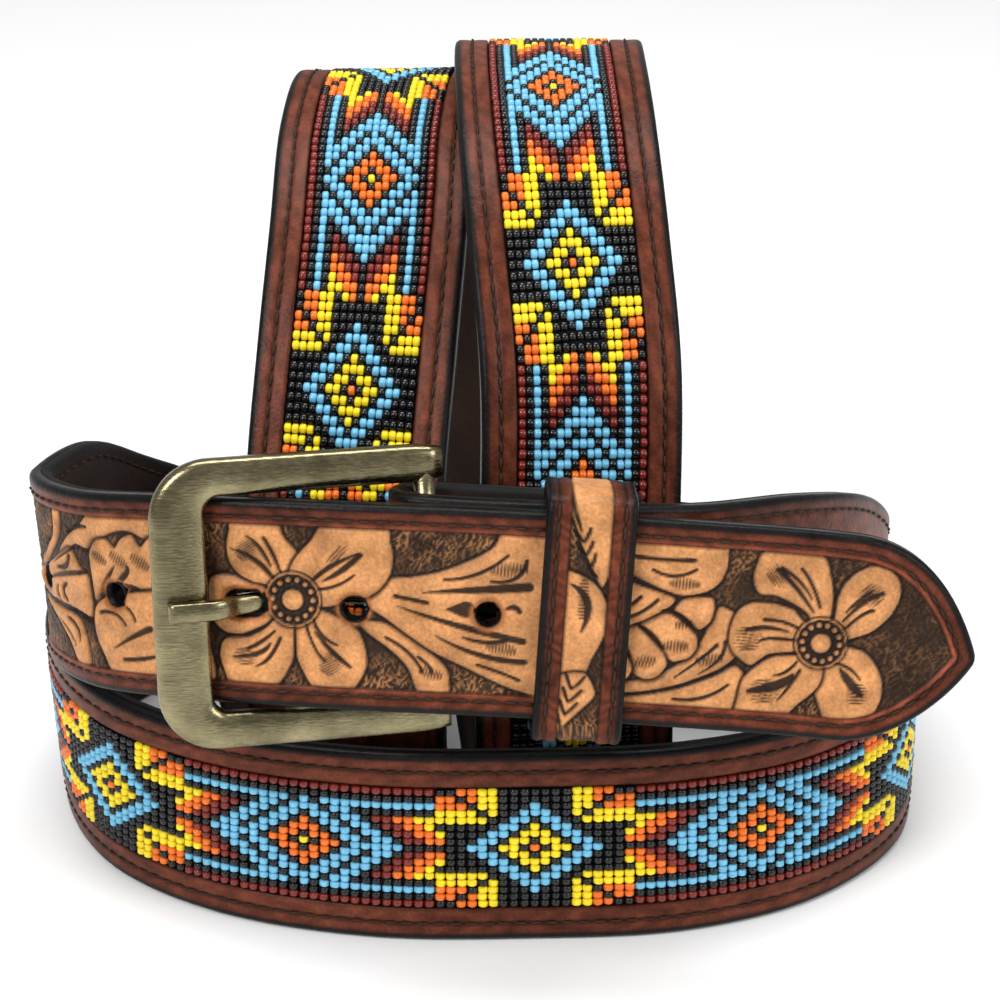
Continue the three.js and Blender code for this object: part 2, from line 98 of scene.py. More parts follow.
# Route of the middle of the strap, from the tip to the buckle's bar. across, back and up are
# hundredths of the coil, and lift adds half widths of the strap. The last three columns point
# to the strap's upper or right-hand edge.
ROUTE = [
    # tip billet across the front, from just beyond its tip
    (108, -8.5, 1.4, 3, 0, 0.21, 0.98),
    (84.5, -9, 5.3, 3, 0, 0.21, 0.98),
    (60, -10, 10.2, 3, 0, 0.21, 0.98),
    (30, -10, 12.9, 3, 0, 0.21, 0.98),
    (0, -10, 14.9, 3, 0, 0.21, 0.98),
    (-30, -8, 15.4, 3, 0, 0.21, 0.98),
    (-55.5, -1, 13.5, 3, 0, 0.19, 0.98),
    (-76.5, 14, 8, 3, 0, 0.08, 0.98),
    (-86, 33, 3.5, 3, -0.05, -0.03, 1),
    (-81.5, 52, 19, 2, -0.1, 0.05, 0.98),
    (-75.5, 70, 8, 2, 0, 0.2, 0.97),
    (-67, 83, 17, 1, 0.1, 0.2, 0.95),
    (-52, 86, 7, 1, 0.4, 0.1, 0.9),
    (-42, 74, 15, 0, 0.8, 0.1, 0.6),
    (-36, 54, 7.5, 0, 1, 0, 0.12),
    # left arch, rising at the front and falling behind the gap
    (-31, 34, 4, 0, 1, 0, 0),
    (-29, 18, 14, 0, 1, -0.1, 0),
    (-29, 13, 34, 0, 1, -0.17, 0),
    (-29, 18, 56, 0, 1, -0.17, 0),
    (-29, 28, 79, 0, 1, -0.17, 0),
    (-27, 40, 101, 0, 1, -0.15, 0),
    (-25, 57, 120, 0, 1, -0.12, 0),
    (-24, 80, 132, 0, 1, -0.04, 0),
    (-21.5, 104, 134.5, 0, 1, 0.04, 0),
    (-17, 123, 122, 0, 1, 0.1, 0),
    (-10, 121, 98, 0, 1, 0.1, 0),
    (-5, 109, 75, 0, 1, 0.1, 0),
    (1, 96, 52, 0, 1, 0.1, 0),
    (6, 82, 29, 0, 1, 0.1, 0),
    (10, 64, 11, 0, 1, 0.05, 0),
    # right arch, rising at the front and falling outside the coil
    (13, 42, 3.2, 0, 1, 0, 0),
    (14, 22, 10, 0, 1, 0.1, 0),
    (14, 14, 30, 0, 1, 0.17, 0),
    (14, 17, 53, 0, 1, 0.17, 0),
    (15, 24, 77, 0, 1, 0.17, 0),
    (15, 32, 101, 0, 1, 0.17, 0),
    (13, 45, 121, 0, 1, 0.15, 0),
    (11, 66, 136, 0, 1, 0.1, 0),
    (10, 91, 140.5, 0, 1, 0.04, 0),
    (10, 116, 137, 0, 1, 0, 0),
    (11, 135, 122, 0, 1, 0, 0),
    (12, 141, 98, 0, 1, 0.05, 0),
    (12, 140, 74, 0, 0.9, 0.4, 0),
    (12, 137, 50, 0, 0.55, 0.85, 0),
    (16, 132, 28, 0, 0.25, 0.95, 0),
    (30, 126, 11, 0, 0.15, 1, 0.05),
    (50, 115, 6.5, 0.3, 0, 0.9, 0.3),
    (69, 99, 3.5, 0.85, 0, 0.5, 0.8),
    (80, 79, 0.5, 1, 0, 0.1, 1),
    # wide loop standing on its edge
    (82, 55, 0, 1, 0, 0, 1),
    (77, 31, 0, 1, 0, 0.03, 1),
    (59.5, 11.5, 0, 1, 0, 0.06, 1),
    (35, 1.2, 0, 1, 0, 0.1, 0.99),
    (5, -1.5, 0, 1, 0, 0.1, 0.99),
    (-25, -0.8, 0, 1, 0, 0.1, 0.99),
    (-54, 7.5, 0, 1, 0, 0.08, 1),
    (-75.5, 23.5, 0, 1, -0.03, 0.05, 1),
    (-87, 47, 0, 1, -0.06, 0, 1),
    (-87.5, 73, 0, 1, -0.05, 0, 1),
    (-74, 97, 0, 1, 0, 0, 1),
    (-49, 111, 0, 1, 0, 0, 1),
    # buckle billet, rising behind the coil and crossing the front
    (-20, 112, 0.5, 1, 0, 0, 1),
    (8, 107, 2.5, 1, 0, 0, 1),
    (36, 95, 6, 1, 0, 0, 1),
    (59, 78, 10, 1, 0, 0.2, 1),
    (74.5, 56, -1, 2, 0, 0.3, 0.96),
    (69, 37, 14, 2, 0, 0.3, 0.95),
    (54.5, 17, 5, 3, 0, 0.22, 0.98),
    (34, 1, 10.6, 3, 0, 0.21, 0.98),
    (10, -4.4, 13.6, 3, 0, 0.21, 0.98),
    (-13, -4.2, 14.8, 3, 0, 0.21, 0.98),
]

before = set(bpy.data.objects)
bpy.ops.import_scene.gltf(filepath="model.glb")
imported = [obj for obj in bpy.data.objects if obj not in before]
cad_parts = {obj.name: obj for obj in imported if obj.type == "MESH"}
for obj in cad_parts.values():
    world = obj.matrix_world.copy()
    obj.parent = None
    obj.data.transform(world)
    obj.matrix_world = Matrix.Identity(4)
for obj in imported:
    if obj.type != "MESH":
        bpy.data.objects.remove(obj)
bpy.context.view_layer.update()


def unit(vectors):
    """Vectors brought to length 1."""
    return vectors / np.linalg.norm(vectors, axis=-1, keepdims=True)


def smoothstep(low, high, value):
    share = np.clip((value - low) / (high - low), 0, 1)
    return share * share * (3 - 2 * share)


def read_route():
    """Places and edge directions of the route, with the fold round the buckle's bar added."""
    table = np.array(ROUTE, float)
    share = COIL_SIZE / 100
    places = table[:, :3] * share
    places[:, 2] += table[:, 3] * HALF_WIDTH
    edges = unit(table[:, 4:])
    heading = unit(places[-1] - places[-2])
    outward = unit(np.cross(edges[-1], heading))
    bar = places[-1] - outward * FOLD_RADIUS
    extra = []
    fold_steps = 4
    for i in range(1, fold_steps + 1):
        angle = math.pi * i / fold_steps
        extra.append(bar + FOLD_RADIUS * (outward * math.cos(angle) + heading * math.sin(angle)))
    last = extra[-1]
    for part in (0.5, 1.0):
        extra.append(last - heading * FOLD_RETURN * part)
    places = np.vstack([places, extra])
    edges = np.vstack([edges, np.tile(edges[-1], (len(extra), 1))])
    return places, edges, bar


def catmull(points, edges, pieces=24):
    """Centripetal curve through the points, with the edge directions carried along."""
    padded = np.vstack([2 * points[0] - points[1], points, 2 * points[-1] - points[-2]])
    gaps = np.sqrt(np.linalg.norm(np.diff(padded, axis=0), axis=1))
    curve, sides = [], []
    share = (np.arange(pieces) / pieces)[:, None]
    for i in range(len(points) - 1):
        p0, p1, p2, p3 = padded[i:i + 4]
        g0, g1, g2 = gaps[i:i + 3]
        start = ((p1 - p0) / g0 - (p2 - p0) / (g0 + g1) + (p2 - p1) / g1) * g1
        end = ((p2 - p1) / g1 - (p3 - p1) / (g1 + g2) + (p3 - p2) / g2) * g1
        cube, square = share ** 3, share ** 2
        curve.append((2 * cube - 3 * square + 1) * p1 + (cube - 2 * square + share) * start
                     + (3 * square - 2 * cube) * p2 + (cube - square) * end)
        sides.append(edges[i] * (1 - share) + edges[i + 1] * share)
    return np.vstack([*curve, points[-1]]), np.vstack([*sides, edges[-1]])


route_places, route_edges, bar_place = read_route()
curve, sides = catmull(route_places, route_edges)
curve_along = np.r_[0, np.cumsum(np.linalg.norm(np.diff(curve, axis=0), axis=1))]

# The left bar's reach decides where the prong's hole and so the tip lie on the route
left_bar_reach = BUCKLE_LENGTH - ARM_OVERRUN - LEFT_BAR_WIDTH / 2
seat = np.argmax(bar_place[0] - curve[:, 0] >= left_bar_reach)
curve_along -= curve_along[seat] - PRONG_ALONG - LEFT_BAR_SEAT
TOTAL_LENGTH = curve_along[-1]
FOLD_START = TOTAL_LENGTH - FOLD_RETURN - math.pi * FOLD_RADIUS - FOLD_STEP
BEAD_START = TIP_BILLET_LENGTH
BEAD_END = TOTAL_LENGTH - BUCKLE_BILLET_LENGTH

# The same curve in even steps, with its edge directions smoothed a little
EVEN_STEP = 0.5
EDGE_SMOOTH = 8.0
SMOOTH_STEPS = 40
even_along = np.arange(0, TOTAL_LENGTH, EVEN_STEP)
even_place = np.stack([np.interp(even_along, curve_along, curve[:, k]) for k in range(3)], 1)
even_edge = np.stack([np.interp(even_along, curve_along, sides[:, k]) for k in range(3)], 1)
window = np.exp(-0.5 * (np.arange(-SMOOTH_STEPS, SMOOTH_STEPS + 1) * EVEN_STEP / EDGE_SMOOTH) ** 2)
window /= window.sum()
for k in range(3):
    padded = np.pad(even_edge[:, k], SMOOTH_STEPS, mode="edge")
    even_edge[:, k] = np.convolve(padded, window, mode="valid")
even_heading = unit(np.gradient(even_place, axis=0))


def frames_at(along):
    """Place, heading, edge and outward directions at lengths along the strap."""
    along = np.asarray(along, float)

    def read(rows):
        return np.stack([np.interp(along, even_along, rows[:, k]) for k in range(3)], -1)

    place = read(even_place)
    heading = unit(read(even_heading))
    edge = read(even_edge)
    edge = unit(edge - heading * (edge * heading).sum(-1, keepdims=True))
    return place, heading, edge, np.cross(edge, heading)


def on_strap(along, up, out):
    """Points in route millimetres from places on the strap, all arrays of one shape."""
    place, heading, edge, outward = frames_at(along)
    return place + edge * np.asarray(up)[..., None] + outward * np.asarray(out)[..., None]


def half_width_at(along):
    share = np.clip(1 - np.asarray(along, float) / TIP_LENGTH, 0, 1)
    return HALF_WIDTH * (1 - share ** TIP_FLANK) ** TIP_POINT


tip_reach = TIP_LENGTH * np.linspace(0, 1, 160) ** 1.6
TIP_OUTLINE = np.stack([tip_reach, half_width_at(tip_reach)], 1)


def from_edge(along, up):
    """How far places lie inside the strap's outline, the pointed tip included."""
    side = HALF_WIDTH - np.abs(up)
    near = along < TIP_LENGTH + HALF_WIDTH
    spots = np.stack([along[near], np.abs(up[near])], 1)[:, None]
    steps = np.diff(TIP_OUTLINE, axis=0)
    offset = spots - TIP_OUTLINE[:-1]
    share = np.clip((offset * steps).sum(2) / (steps ** 2).sum(1), 0, 1)
    gap = np.linalg.norm(offset - steps * share[..., None], axis=2).min(1)
    side[near] = np.minimum(side[near], gap)
    return side


def route_shift():
    """Where the route's origin lies in the frame, from the lining's box and its end sections."""
    low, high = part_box("strap_lining")
    middle = (np.array(low) + np.array(high)) / 2 / METRE
    along = np.arange(TIP_BLUNT, TOTAL_LENGTH, 1.0)
    half = half_width_at(along)
    corners = [on_strap(along, side * half, np.full(len(along), out))
               for side in (-1, 1) for out in (LINING_INNER, LINING_OUTER)]
    points = np.vstack(corners)
    return middle - (points.min(0) + points.max(0)) / 2


SHIFT = route_shift()


def to_frame(points):
    return (np.asarray(points) + SHIFT) * METRE


# Mesh making
def make_piece(name, points, faces, paint, node):
    """A piece from points in route millimetres and lists of faces with equal corner counts."""
    mesh = bpy.data.meshes.new(name)
    flat = to_frame(points).astype(np.float32)
    mesh.vertices.add(len(flat))
    mesh.vertices.foreach_set("co", flat.ravel())
    faces = [np.asarray(group, np.int32) for group in faces if len(group)]
    corners = np.concatenate([group.ravel() for group in faces])
    totals = np.concatenate([np.full(len(group), group.shape[1], np.int32) for group in faces])
    starts = np.r_[0, np.cumsum(totals)[:-1]].astype(np.int32)
    mesh.loops.add(len(corners))
    mesh.loops.foreach_set("vertex_index", corners)
    mesh.polygons.add(len(totals))
    mesh.polygons.foreach_set("loop_start", starts)
    mesh.polygons.foreach_set("loop_total", totals)
    mesh.polygons.foreach_set("use_smooth", np.ones(len(totals), bool))
    mesh.update(calc_edges=True)
    if paint is not None:
        layer = mesh.color_attributes.new("paint", "FLOAT_COLOR", "POINT")
        colours = np.ones((len(flat), 4), np.float32)
        colours[:, :3] = paint
        layer.data.foreach_set("color", colours.ravel())
    mesh.validate()
    piece = bpy.data.objects.new(name, mesh)
    bpy.context.scene.collection.objects.link(piece)
    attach(piece, "root")
    if node:
        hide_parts(*node)
    return piece


def loop_faces(rows, columns, closed_rows=False):
    """Quads of a tube: each row is a closed loop of points."""
    i = np.arange(rows if closed_rows else rows - 1)[:, None]
    j = np.arange(columns)[None, :]
    after, beside = (i + 1) % rows, (j + 1) % columns
    quads = np.stack([i * columns + j, after * columns + j,
                      after * columns + beside, i * columns + beside], -1)
    return quads.reshape(-1, 4)


def cap_faces(rows, columns):
    first = np.arange(columns)[None, :]
    last = ((rows - 1) * columns + np.arange(columns))[::-1][None, :]
    return first, last


def copies(template, faces, centres, axes):
    """Joined copies of a template, each with its centre and three axes."""
    points = centres[:, None, :] + np.einsum("vk,ckd->cvd", template, axes)
    count = len(template)
    starts = (np.arange(len(centres)) * count)[:, None, None]
    groups = [(group[None] + starts).reshape(-1, group.shape[1]) for group in faces]
    return points.reshape(-1, 3), groups


# Tooling of the leather: motifs are drawn on a fine grid, which the strap's points then read
GRID_STEP = 0.12
GROUND_DEPTH = -0.5
NET_PITCH = 1.15
THINNEST_CUT = 0.05
RIB_PITCH = 0.56
RIB_POINTS = 14
DISC_DOTS = 14
TAN = np.array([0.56, 0.255, 0.098])
WORN_TAN = np.array([0.36, 0.125, 0.040])
DARK = np.array([0.012, 0.008, 0.007])
MARGIN_BROWN = np.array([0.108, 0.027, 0.013])
EDGE_BLACK = np.array([0.006, 0.006, 0.006])


def cloudy(shape, reach, seed):
    """Smooth noise from 0 to 1 on a grid, with blots about reach steps wide."""
    rng = np.random.default_rng(seed)
    rows, columns = (int(size / reach) + 2 for size in shape)
    coarse = rng.random((rows, columns))
    across = np.arange(shape[1]) / reach
    wide = np.stack([np.interp(across, np.arange(columns), row) for row in coarse])
    down = np.arange(shape[0]) / reach
    return np.stack([np.interp(down, np.arange(rows), column) for column in wide.T], 1)


class Panel:
    """A field of tooling, with its depth and its tone from 0, dark, to 1, tan."""

    def __init__(self, start, end, low, high):
        self.start, self.low = start, low
        along = np.arange(start, end, GRID_STEP)
        up = np.arange(low, high, GRID_STEP)
        self.along, self.up = np.meshgrid(along, up, indexing="ij")
        shape = self.along.shape
        net = np.zeros(shape)
        for seed, lean in ((1, 0.75), (2, -0.75), (3, 0.1)):
            across = self.along + lean * self.up + 1.5 * cloudy(shape, 9, seed)
            line = smoothstep(0.45, 0.95, np.cos(2 * math.pi * across / NET_PITCH))
            net = np.maximum(net, line * smoothstep(0.30, 0.72, cloudy(shape, 6, seed + 10)))
        patch = 0.25 + 0.75 * smoothstep(0.25, 0.75, cloudy(shape, 26, 21))
        border = smoothstep(6.0, 13.5, np.abs(self.up))
        self.depth = GROUND_DEPTH + 0.26 * net
        self.tone = 0.03 + 0.62 * net * np.clip(patch * (0.35 + 0.75 * border), 0, 1)

    def window(self, points, reach):
        low = points.min(0) - reach
        high = points.max(0) + reach
        size = self.depth.shape
        a = int(np.clip((low[0] - self.start) / GRID_STEP, 0, size[0]))
        b = int(np.clip((high[0] - self.start) / GRID_STEP + 1, 0, size[0]))
        c = int(np.clip((low[1] - self.low) / GRID_STEP, 0, size[1]))
        d = int(np.clip((high[1] - self.low) / GRID_STEP + 1, 0, size[1]))
        return slice(a, b), slice(c, d)

    def from_line(self, points, halves, reach):
        """Distance to a form swept along points with the given half widths."""
        view = self.window(points, halves.max() + reach)
        along, up = self.along[view], self.up[view]
        near = np.full(along.shape, 1e6)
        for point, half in zip(points, halves):
            near = np.minimum(near, np.hypot(along - point[0], up - point[1]) - half)
        return view, near

    def from_outline(self, outline, reach):
        """Distance to a closed outline, below 0 inside it."""
        view = self.window(outline, reach)
        along, up = self.along[view], self.up[view]
        near = np.full(along.shape, 1e6)
        inside = np.zeros(along.shape, bool)
        for (a0, u0), (a1, u1) in zip(outline, np.roll(outline, -1, 0)):
            step_a, step_u = a1 - a0, u1 - u0
            share = ((along - a0) * step_a + (up - u0) * step_u) / (step_a ** 2 + step_u ** 2)
            share = np.clip(share, 0, 1)
            near = np.minimum(near, np.hypot(along - a0 - share * step_a, up - u0 - share * step_u))
            if u0 != u1:
                crossed = ((u0 > up) != (u1 > up)) & (along < a0 + (up - u0) * step_a / step_u)
                inside ^= crossed
        return view, np.where(inside, -near, near)

    def raise_form(self, view, near, rim_width=0.36):
        """A raised tan form with a dark cut round it. The dark rim is partly a real cut and partly
        painted shade: it is painted all round as wide as the cut plus its shadow on the shaded
        side.
        """
        if near.size == 0:
            return
        inside = smoothstep(0.10, -0.14, near)
        crown = smoothstep(0, -1.5, near)
        # painted shade: the dark rim is about 0.6 mm wide on every side, the width that the cut and
        # the shadow beside it have on the lower-left sides
        rim = np.exp(-((near - 0.32) / rim_width) ** 2) * (near > -0.3)
        self.tone[view] = self.tone[view] * (1 - 0.97 * rim)
        self.depth[view] = self.depth[view] * (1 - rim) + (GROUND_DEPTH - 0.25) * rim
        self.tone[view] = self.tone[view] * (1 - inside) + (0.84 + 0.16 * crown) * inside
        self.depth[view] = self.depth[view] * (1 - inside) + (0.36 * crown - 0.26) * inside

    def cut(self, points, halves, depth=0.42, strength=0.97):
        """A dark stroke of the swivel knife or beveller."""
        view, near = self.from_line(points, halves, 0.8)
        if near.size == 0:
            return
        stroke = smoothstep(0.14, -0.08, near) * strength
        self.tone[view] = self.tone[view] * (1 - stroke) + 0.02 * stroke
        self.depth[view] -= depth * stroke

    def read(self, values, along, up):
        a = np.clip((along - self.start) / GRID_STEP, 0, self.depth.shape[0] - 1.001)
        b = np.clip((up - self.low) / GRID_STEP, 0, self.depth.shape[1] - 1.001)
        i, j = a.astype(int), b.astype(int)
        s, t = a - i, b - j
        return ((values[i, j] * (1 - s) + values[i + 1, j] * s) * (1 - t)
                + (values[i, j + 1] * (1 - s) + values[i + 1, j + 1] * s) * t)


def bend(points, count):
    """A smooth line through a start, a middle and an end."""
    start, middle, end = (np.array(p, float) for p in points)
    pull = 2 * middle - (start + end) / 2
    share = np.linspace(0, 1, count)[:, None]
    return start * (1 - share) ** 2 + 2 * pull * share * (1 - share) + end * share ** 2


def taper(halves, count):
    """Half widths of a cut along its line."""
    return np.maximum(bend([(half,) for half in halves], count)[:, 0], THINNEST_CUT)


def polar(centre, angle, reach):
    """A place seen from a centre: angles turn from the tip's side to the upper edge."""
    turn = math.radians(angle)
    return (centre[0] - reach * math.cos(turn), centre[1] + reach * math.sin(turn))


def closed_curve(points, pieces=7):
    """A smooth closed line through points."""
    points = np.array(points, float)
    p0, p1, p2, p3 = (np.roll(points, turn, 0)[:, None] for turn in (1, 0, -1, -2))
    share = (np.arange(pieces) / pieces)[None, :, None]
    start, end = (p2 - p0) * 0.4, (p3 - p1) * 0.4
    cube, square = share ** 3, share ** 2
    line = ((2 * cube - 3 * square + 1) * p1 + (cube - 2 * square + share) * start
            + (3 * square - 2 * cube) * p2 + (cube - square) * end)
    return line.reshape(-1, 2)


def draw_outline(panel, points):
    panel.raise_form(*panel.from_outline(closed_curve(points), 1.4))


def draw_button(panel, place, radius):
    panel.raise_form(*panel.from_line(np.array([place]), np.array([radius]), 0.9), 0.22)


def draw_cut(panel, row):
    a0, u0, a1, u1, a2, u2, h0, h1, h2 = row
    count = int(math.hypot(a2 - a0, u2 - u0) / GRID_STEP) + 12
    panel.cut(bend(((a0, u0), (a1, u1), (a2, u2)), count), taper((h0, h1, h2), count))


def draw_ribs(panel, row):
    """A patch of fine parallel cuts: its middle, the way they run, how many and how long."""
    along, up, angle, count, length = row
    for i in range(count):
        share = (i + 0.5) / count
        middle = polar((along, up), angle + 90, (i - (count - 1) / 2) * RIB_PITCH)
        reach = length * (0.45 + 0.55 * math.sin(math.pi * share)) / 2
        start, end = polar(middle, angle, reach), polar(middle, angle, -reach)
        line = bend((start, middle, end), RIB_POINTS)
        panel.cut(line, taper((0.06, 0.17, 0.06), RIB_POINTS), 0.2, 0.95)


def draw_disc(panel, centre, disc):
    """A flower's centre: a dark disc with a ring of dots round a raised button."""
    panel.raise_form(*panel.from_line(np.array([centre]), np.array([disc + 0.25]), 0.9), 0.22)
    panel.cut(np.array([centre]), np.array([disc]), 0.1, 0.97)
    draw_button(panel, centre, disc * 0.40)
    for i in range(DISC_DOTS):
        draw_button(panel, polar(centre, 360 * i / DISC_DOTS, disc * 0.78), 0.42)


# Flowers: the centre, the disc, the petals' outlines, the cuts and the ribs. Places in them are
# measured from the centre, towards the tip and up.
FLOWERS = [
    ((28.5, -1.2), 4.3, [
        [(-4.3, 4.2), (-5.7, 5.6), (-9.2, 6.4), (-12.8, 6.3), (-15.1, 4.8), (-16.1, 2.1),
         (-16.3, -0.9), (-15.2, -3.2), (-12.1, -5.1), (-9.2, -2.9), (-4.3, -1.9), (0, 0)],
        [(-2.8, 5.0), (-5.7, 6.8), (-8.9, 8.0), (-11.7, 8.1), (-12.9, 10.2), (-12.8, 12.9),
         (-11.0, 16.0), (-2.1, 16.0), (0, 12.4), (0.9, 8.6), (1.0, 4.8), (0, 0)],
        [(1.8, 4.8), (1.8, 7.9), (2.5, 10.9), (4.3, 13.5), (6.7, 15.1), (9.7, 14.7),
         (11.6, 13.0), (12.2, 10.2), (11.3, 6.8), (8.5, 3.2), (3.9, 1.0), (0, 0)],
        [(4.1, -0.2), (7.8, -0.6), (10.6, -2.8), (12.4, -5.7), (12.8, -8.7), (12.1, -11.8),
         (10.3, -14.0), (3.5, -14.5), (1.4, -11.5), (0.2, -8.9), (-1.0, -6.0), (0, 0)],
        [(1.0, -6.0), (0.0, -8.9), (-2.8, -11.7), (-5.7, -14.5), (-13.7, -15.0), (-13.8, -11.1),
         (-13.1, -7.6), (-10.6, -4.9), (-7.8, -3.2), (-3.9, -2.6), (0, 0)],
    ], [
        (-9.0, 12.7, -5.7, 9.8, -2.1, 5.6, 0.45, 0.45, 0.20),
        (-5.0, 13.3, -2.8, 10.3, -1.1, 6.6, 0.30, 0.30, 0.25),
        (-8.2, 13.0, -5.0, 10.8, -2.7, 7.9, 0.40, 0.30, 0.15),
        (9.2, 10.5, 6.4, 8.5, 3.2, 4.5, 0.40, 0.42, 0.20),
        (8.0, 7.2, 6.0, 5.8, 3.7, 3.0, 0.35, 0.30, 0.25),
        (7.4, 10.8, 5.4, 8.6, 3.4, 6.2, 0.20, 0.40, 0.10),
        (4.1, -4.2, 6.4, -6.5, 9.0, -8.6, 0.20, 0.85, 0.50),
        (2.8, -3.4, 5.7, -3.9, 8.2, -5.7, 0.25, 0.30, 0.15),
        (-3.2, -5.3, -5.0, -8.8, -6.7, -11.1, 0.30, 0.30, 0.10),
        (-4.4, -6.1, -6.6, -8.2, -12.1, -9.9, 0.20, 0.90, 0.40),
        (-3.9, -3.8, -5.7, -5.8, -7.8, -6.6, 0.25, 0.30, 0.15),
        (-4.3, 2.3, -7.1, 3.3, -10.5, 3.5, 0.30, 0.30, 0.35),
        (-4.4, 0.0, -8.5, 0.2, -11.0, -0.5, 0.30, 0.30, 0.20),
        (-6.0, 1.6, -10.3, 2.0, -13.6, 1.2, 0.15, 0.45, 0.30),
    ], [(-9.0, 11.8, 128, 6, 4.6), (7.4, 10.0, 50, 7, 4.4), (8.0, -8.4, 8, 7, 4.4),
        (-9.4, -9.6, 8, 8, 6.0), (-13.2, -0.2, 4, 8, 5.4)]),
    ((122.7, 1.1), 4.7, [
        [(-5.0, 1.7), (-7.0, 2.2), (-10.4, 3.7), (-13.0, 3.9), (-15.0, 3.3), (-15.6, 1.1),
         (-15.3, -3.9), (-14.0, -5.8), (-12.2, -6.8), (-9.6, -6.8), (-6.3, -5.4), (-4.0, -4.0),
         (0, 0)],
        [(-4.7, 2.5), (-7.1, 2.9), (-9.6, 4.1), (-11.3, 6.2), (-11.8, 9.1), (-11.2, 12.4),
         (-10.6, 15.0), (-3.5, 15.0), (-1.6, 11.4), (0.8, 8.6), (2.5, 5.0), (0, 0)],
        [(-0.5, 5.0), (1.0, 8.2), (3.4, 11.0), (6.3, 14.6), (15.8, 14.6), (17.2, 11.0),
         (17.6, 8.3), (17.1, 5.1), (15.0, 2.3), (12.2, 0.6), (8.3, -0.5), (4.7, -1.1), (0, 0)],
        [(4.7, -1.7), (7.0, -2.4), (9.6, -3.8), (11.7, -5.3), (12.9, -8.0), (13.3, -11.2),
         (12.4, -13.8), (10.1, -16.6), (4.2, -16.6), (1.7, -13.0), (0.6, -10.2), (0.3, -5.6),
         (0, 0)],
        [(0.0, -5.6), (-0.1, -10.4), (-0.9, -12.6), (-4.1, -16.8), (-11.7, -16.8),
         (-13.5, -13.5), (-14.1, -11.2), (-13.6, -8.8), (-12.2, -7.7), (-8.8, -7.5),
         (-5.8, -6.1), (-4.0, -4.5), (0, 0)],
    ], [
        (-8.1, 11.4, -5.8, 9.4, -3.8, 6.0, 0.12, 0.38, 0.15),
        (-5.0, 11.2, -3.3, 8.1, -2.0, 4.7, 0.30, 0.36, 0.20),
        (-11.0, 8.9, -6.5, 6.9, -3.5, 3.8, 0.10, 0.50, 0.35),
        (3.6, 3.7, 7.0, 6.5, 11.7, 9.1, 0.30, 0.42, 0.10),
        (5.6, 3.8, 8.8, 5.8, 12.0, 8.8, 0.15, 0.50, 0.48),
        (4.5, 2.1, 8.1, 3.1, 11.0, 5.1, 0.30, 0.30, 0.20),
        (3.7, -3.3, 5.3, -6.2, 8.1, -7.9, 0.30, 0.36, 0.20),
        (2.4, -4.5, 4.0, -8.6, 5.8, -11.0, 0.30, 0.26, 0.30),
        (4.0, -5.7, 7.3, -9.3, 10.4, -11.8, 0.15, 0.50, 0.30),
        (-3.3, -5.9, -6.0, -8.1, -8.6, -9.5, 0.20, 0.36, 0.30),
        (-2.3, -7.1, -4.5, -10.9, -7.0, -12.6, 0.30, 0.36, 0.12),
        (-4.2, -8.2, -6.5, -10.2, -11.2, -11.2, 0.15, 0.45, 0.15),
        (-10.4, 1.1, -8.6, 0.1, -5.1, -0.3, 0.10, 0.30, 0.25),
        (-13.2, -3.6, -8.8, -3.6, -4.5, -1.9, 0.10, 0.26, 0.30),
    ], [(-8.3, 8.7, 140, 7, 3.6), (6.9, -11.4, 145, 8, 4.4), (-9.0, -10.9, 8, 6, 4.6),
        (8.0, 8.6, 50, 3, 6.0)]),
]

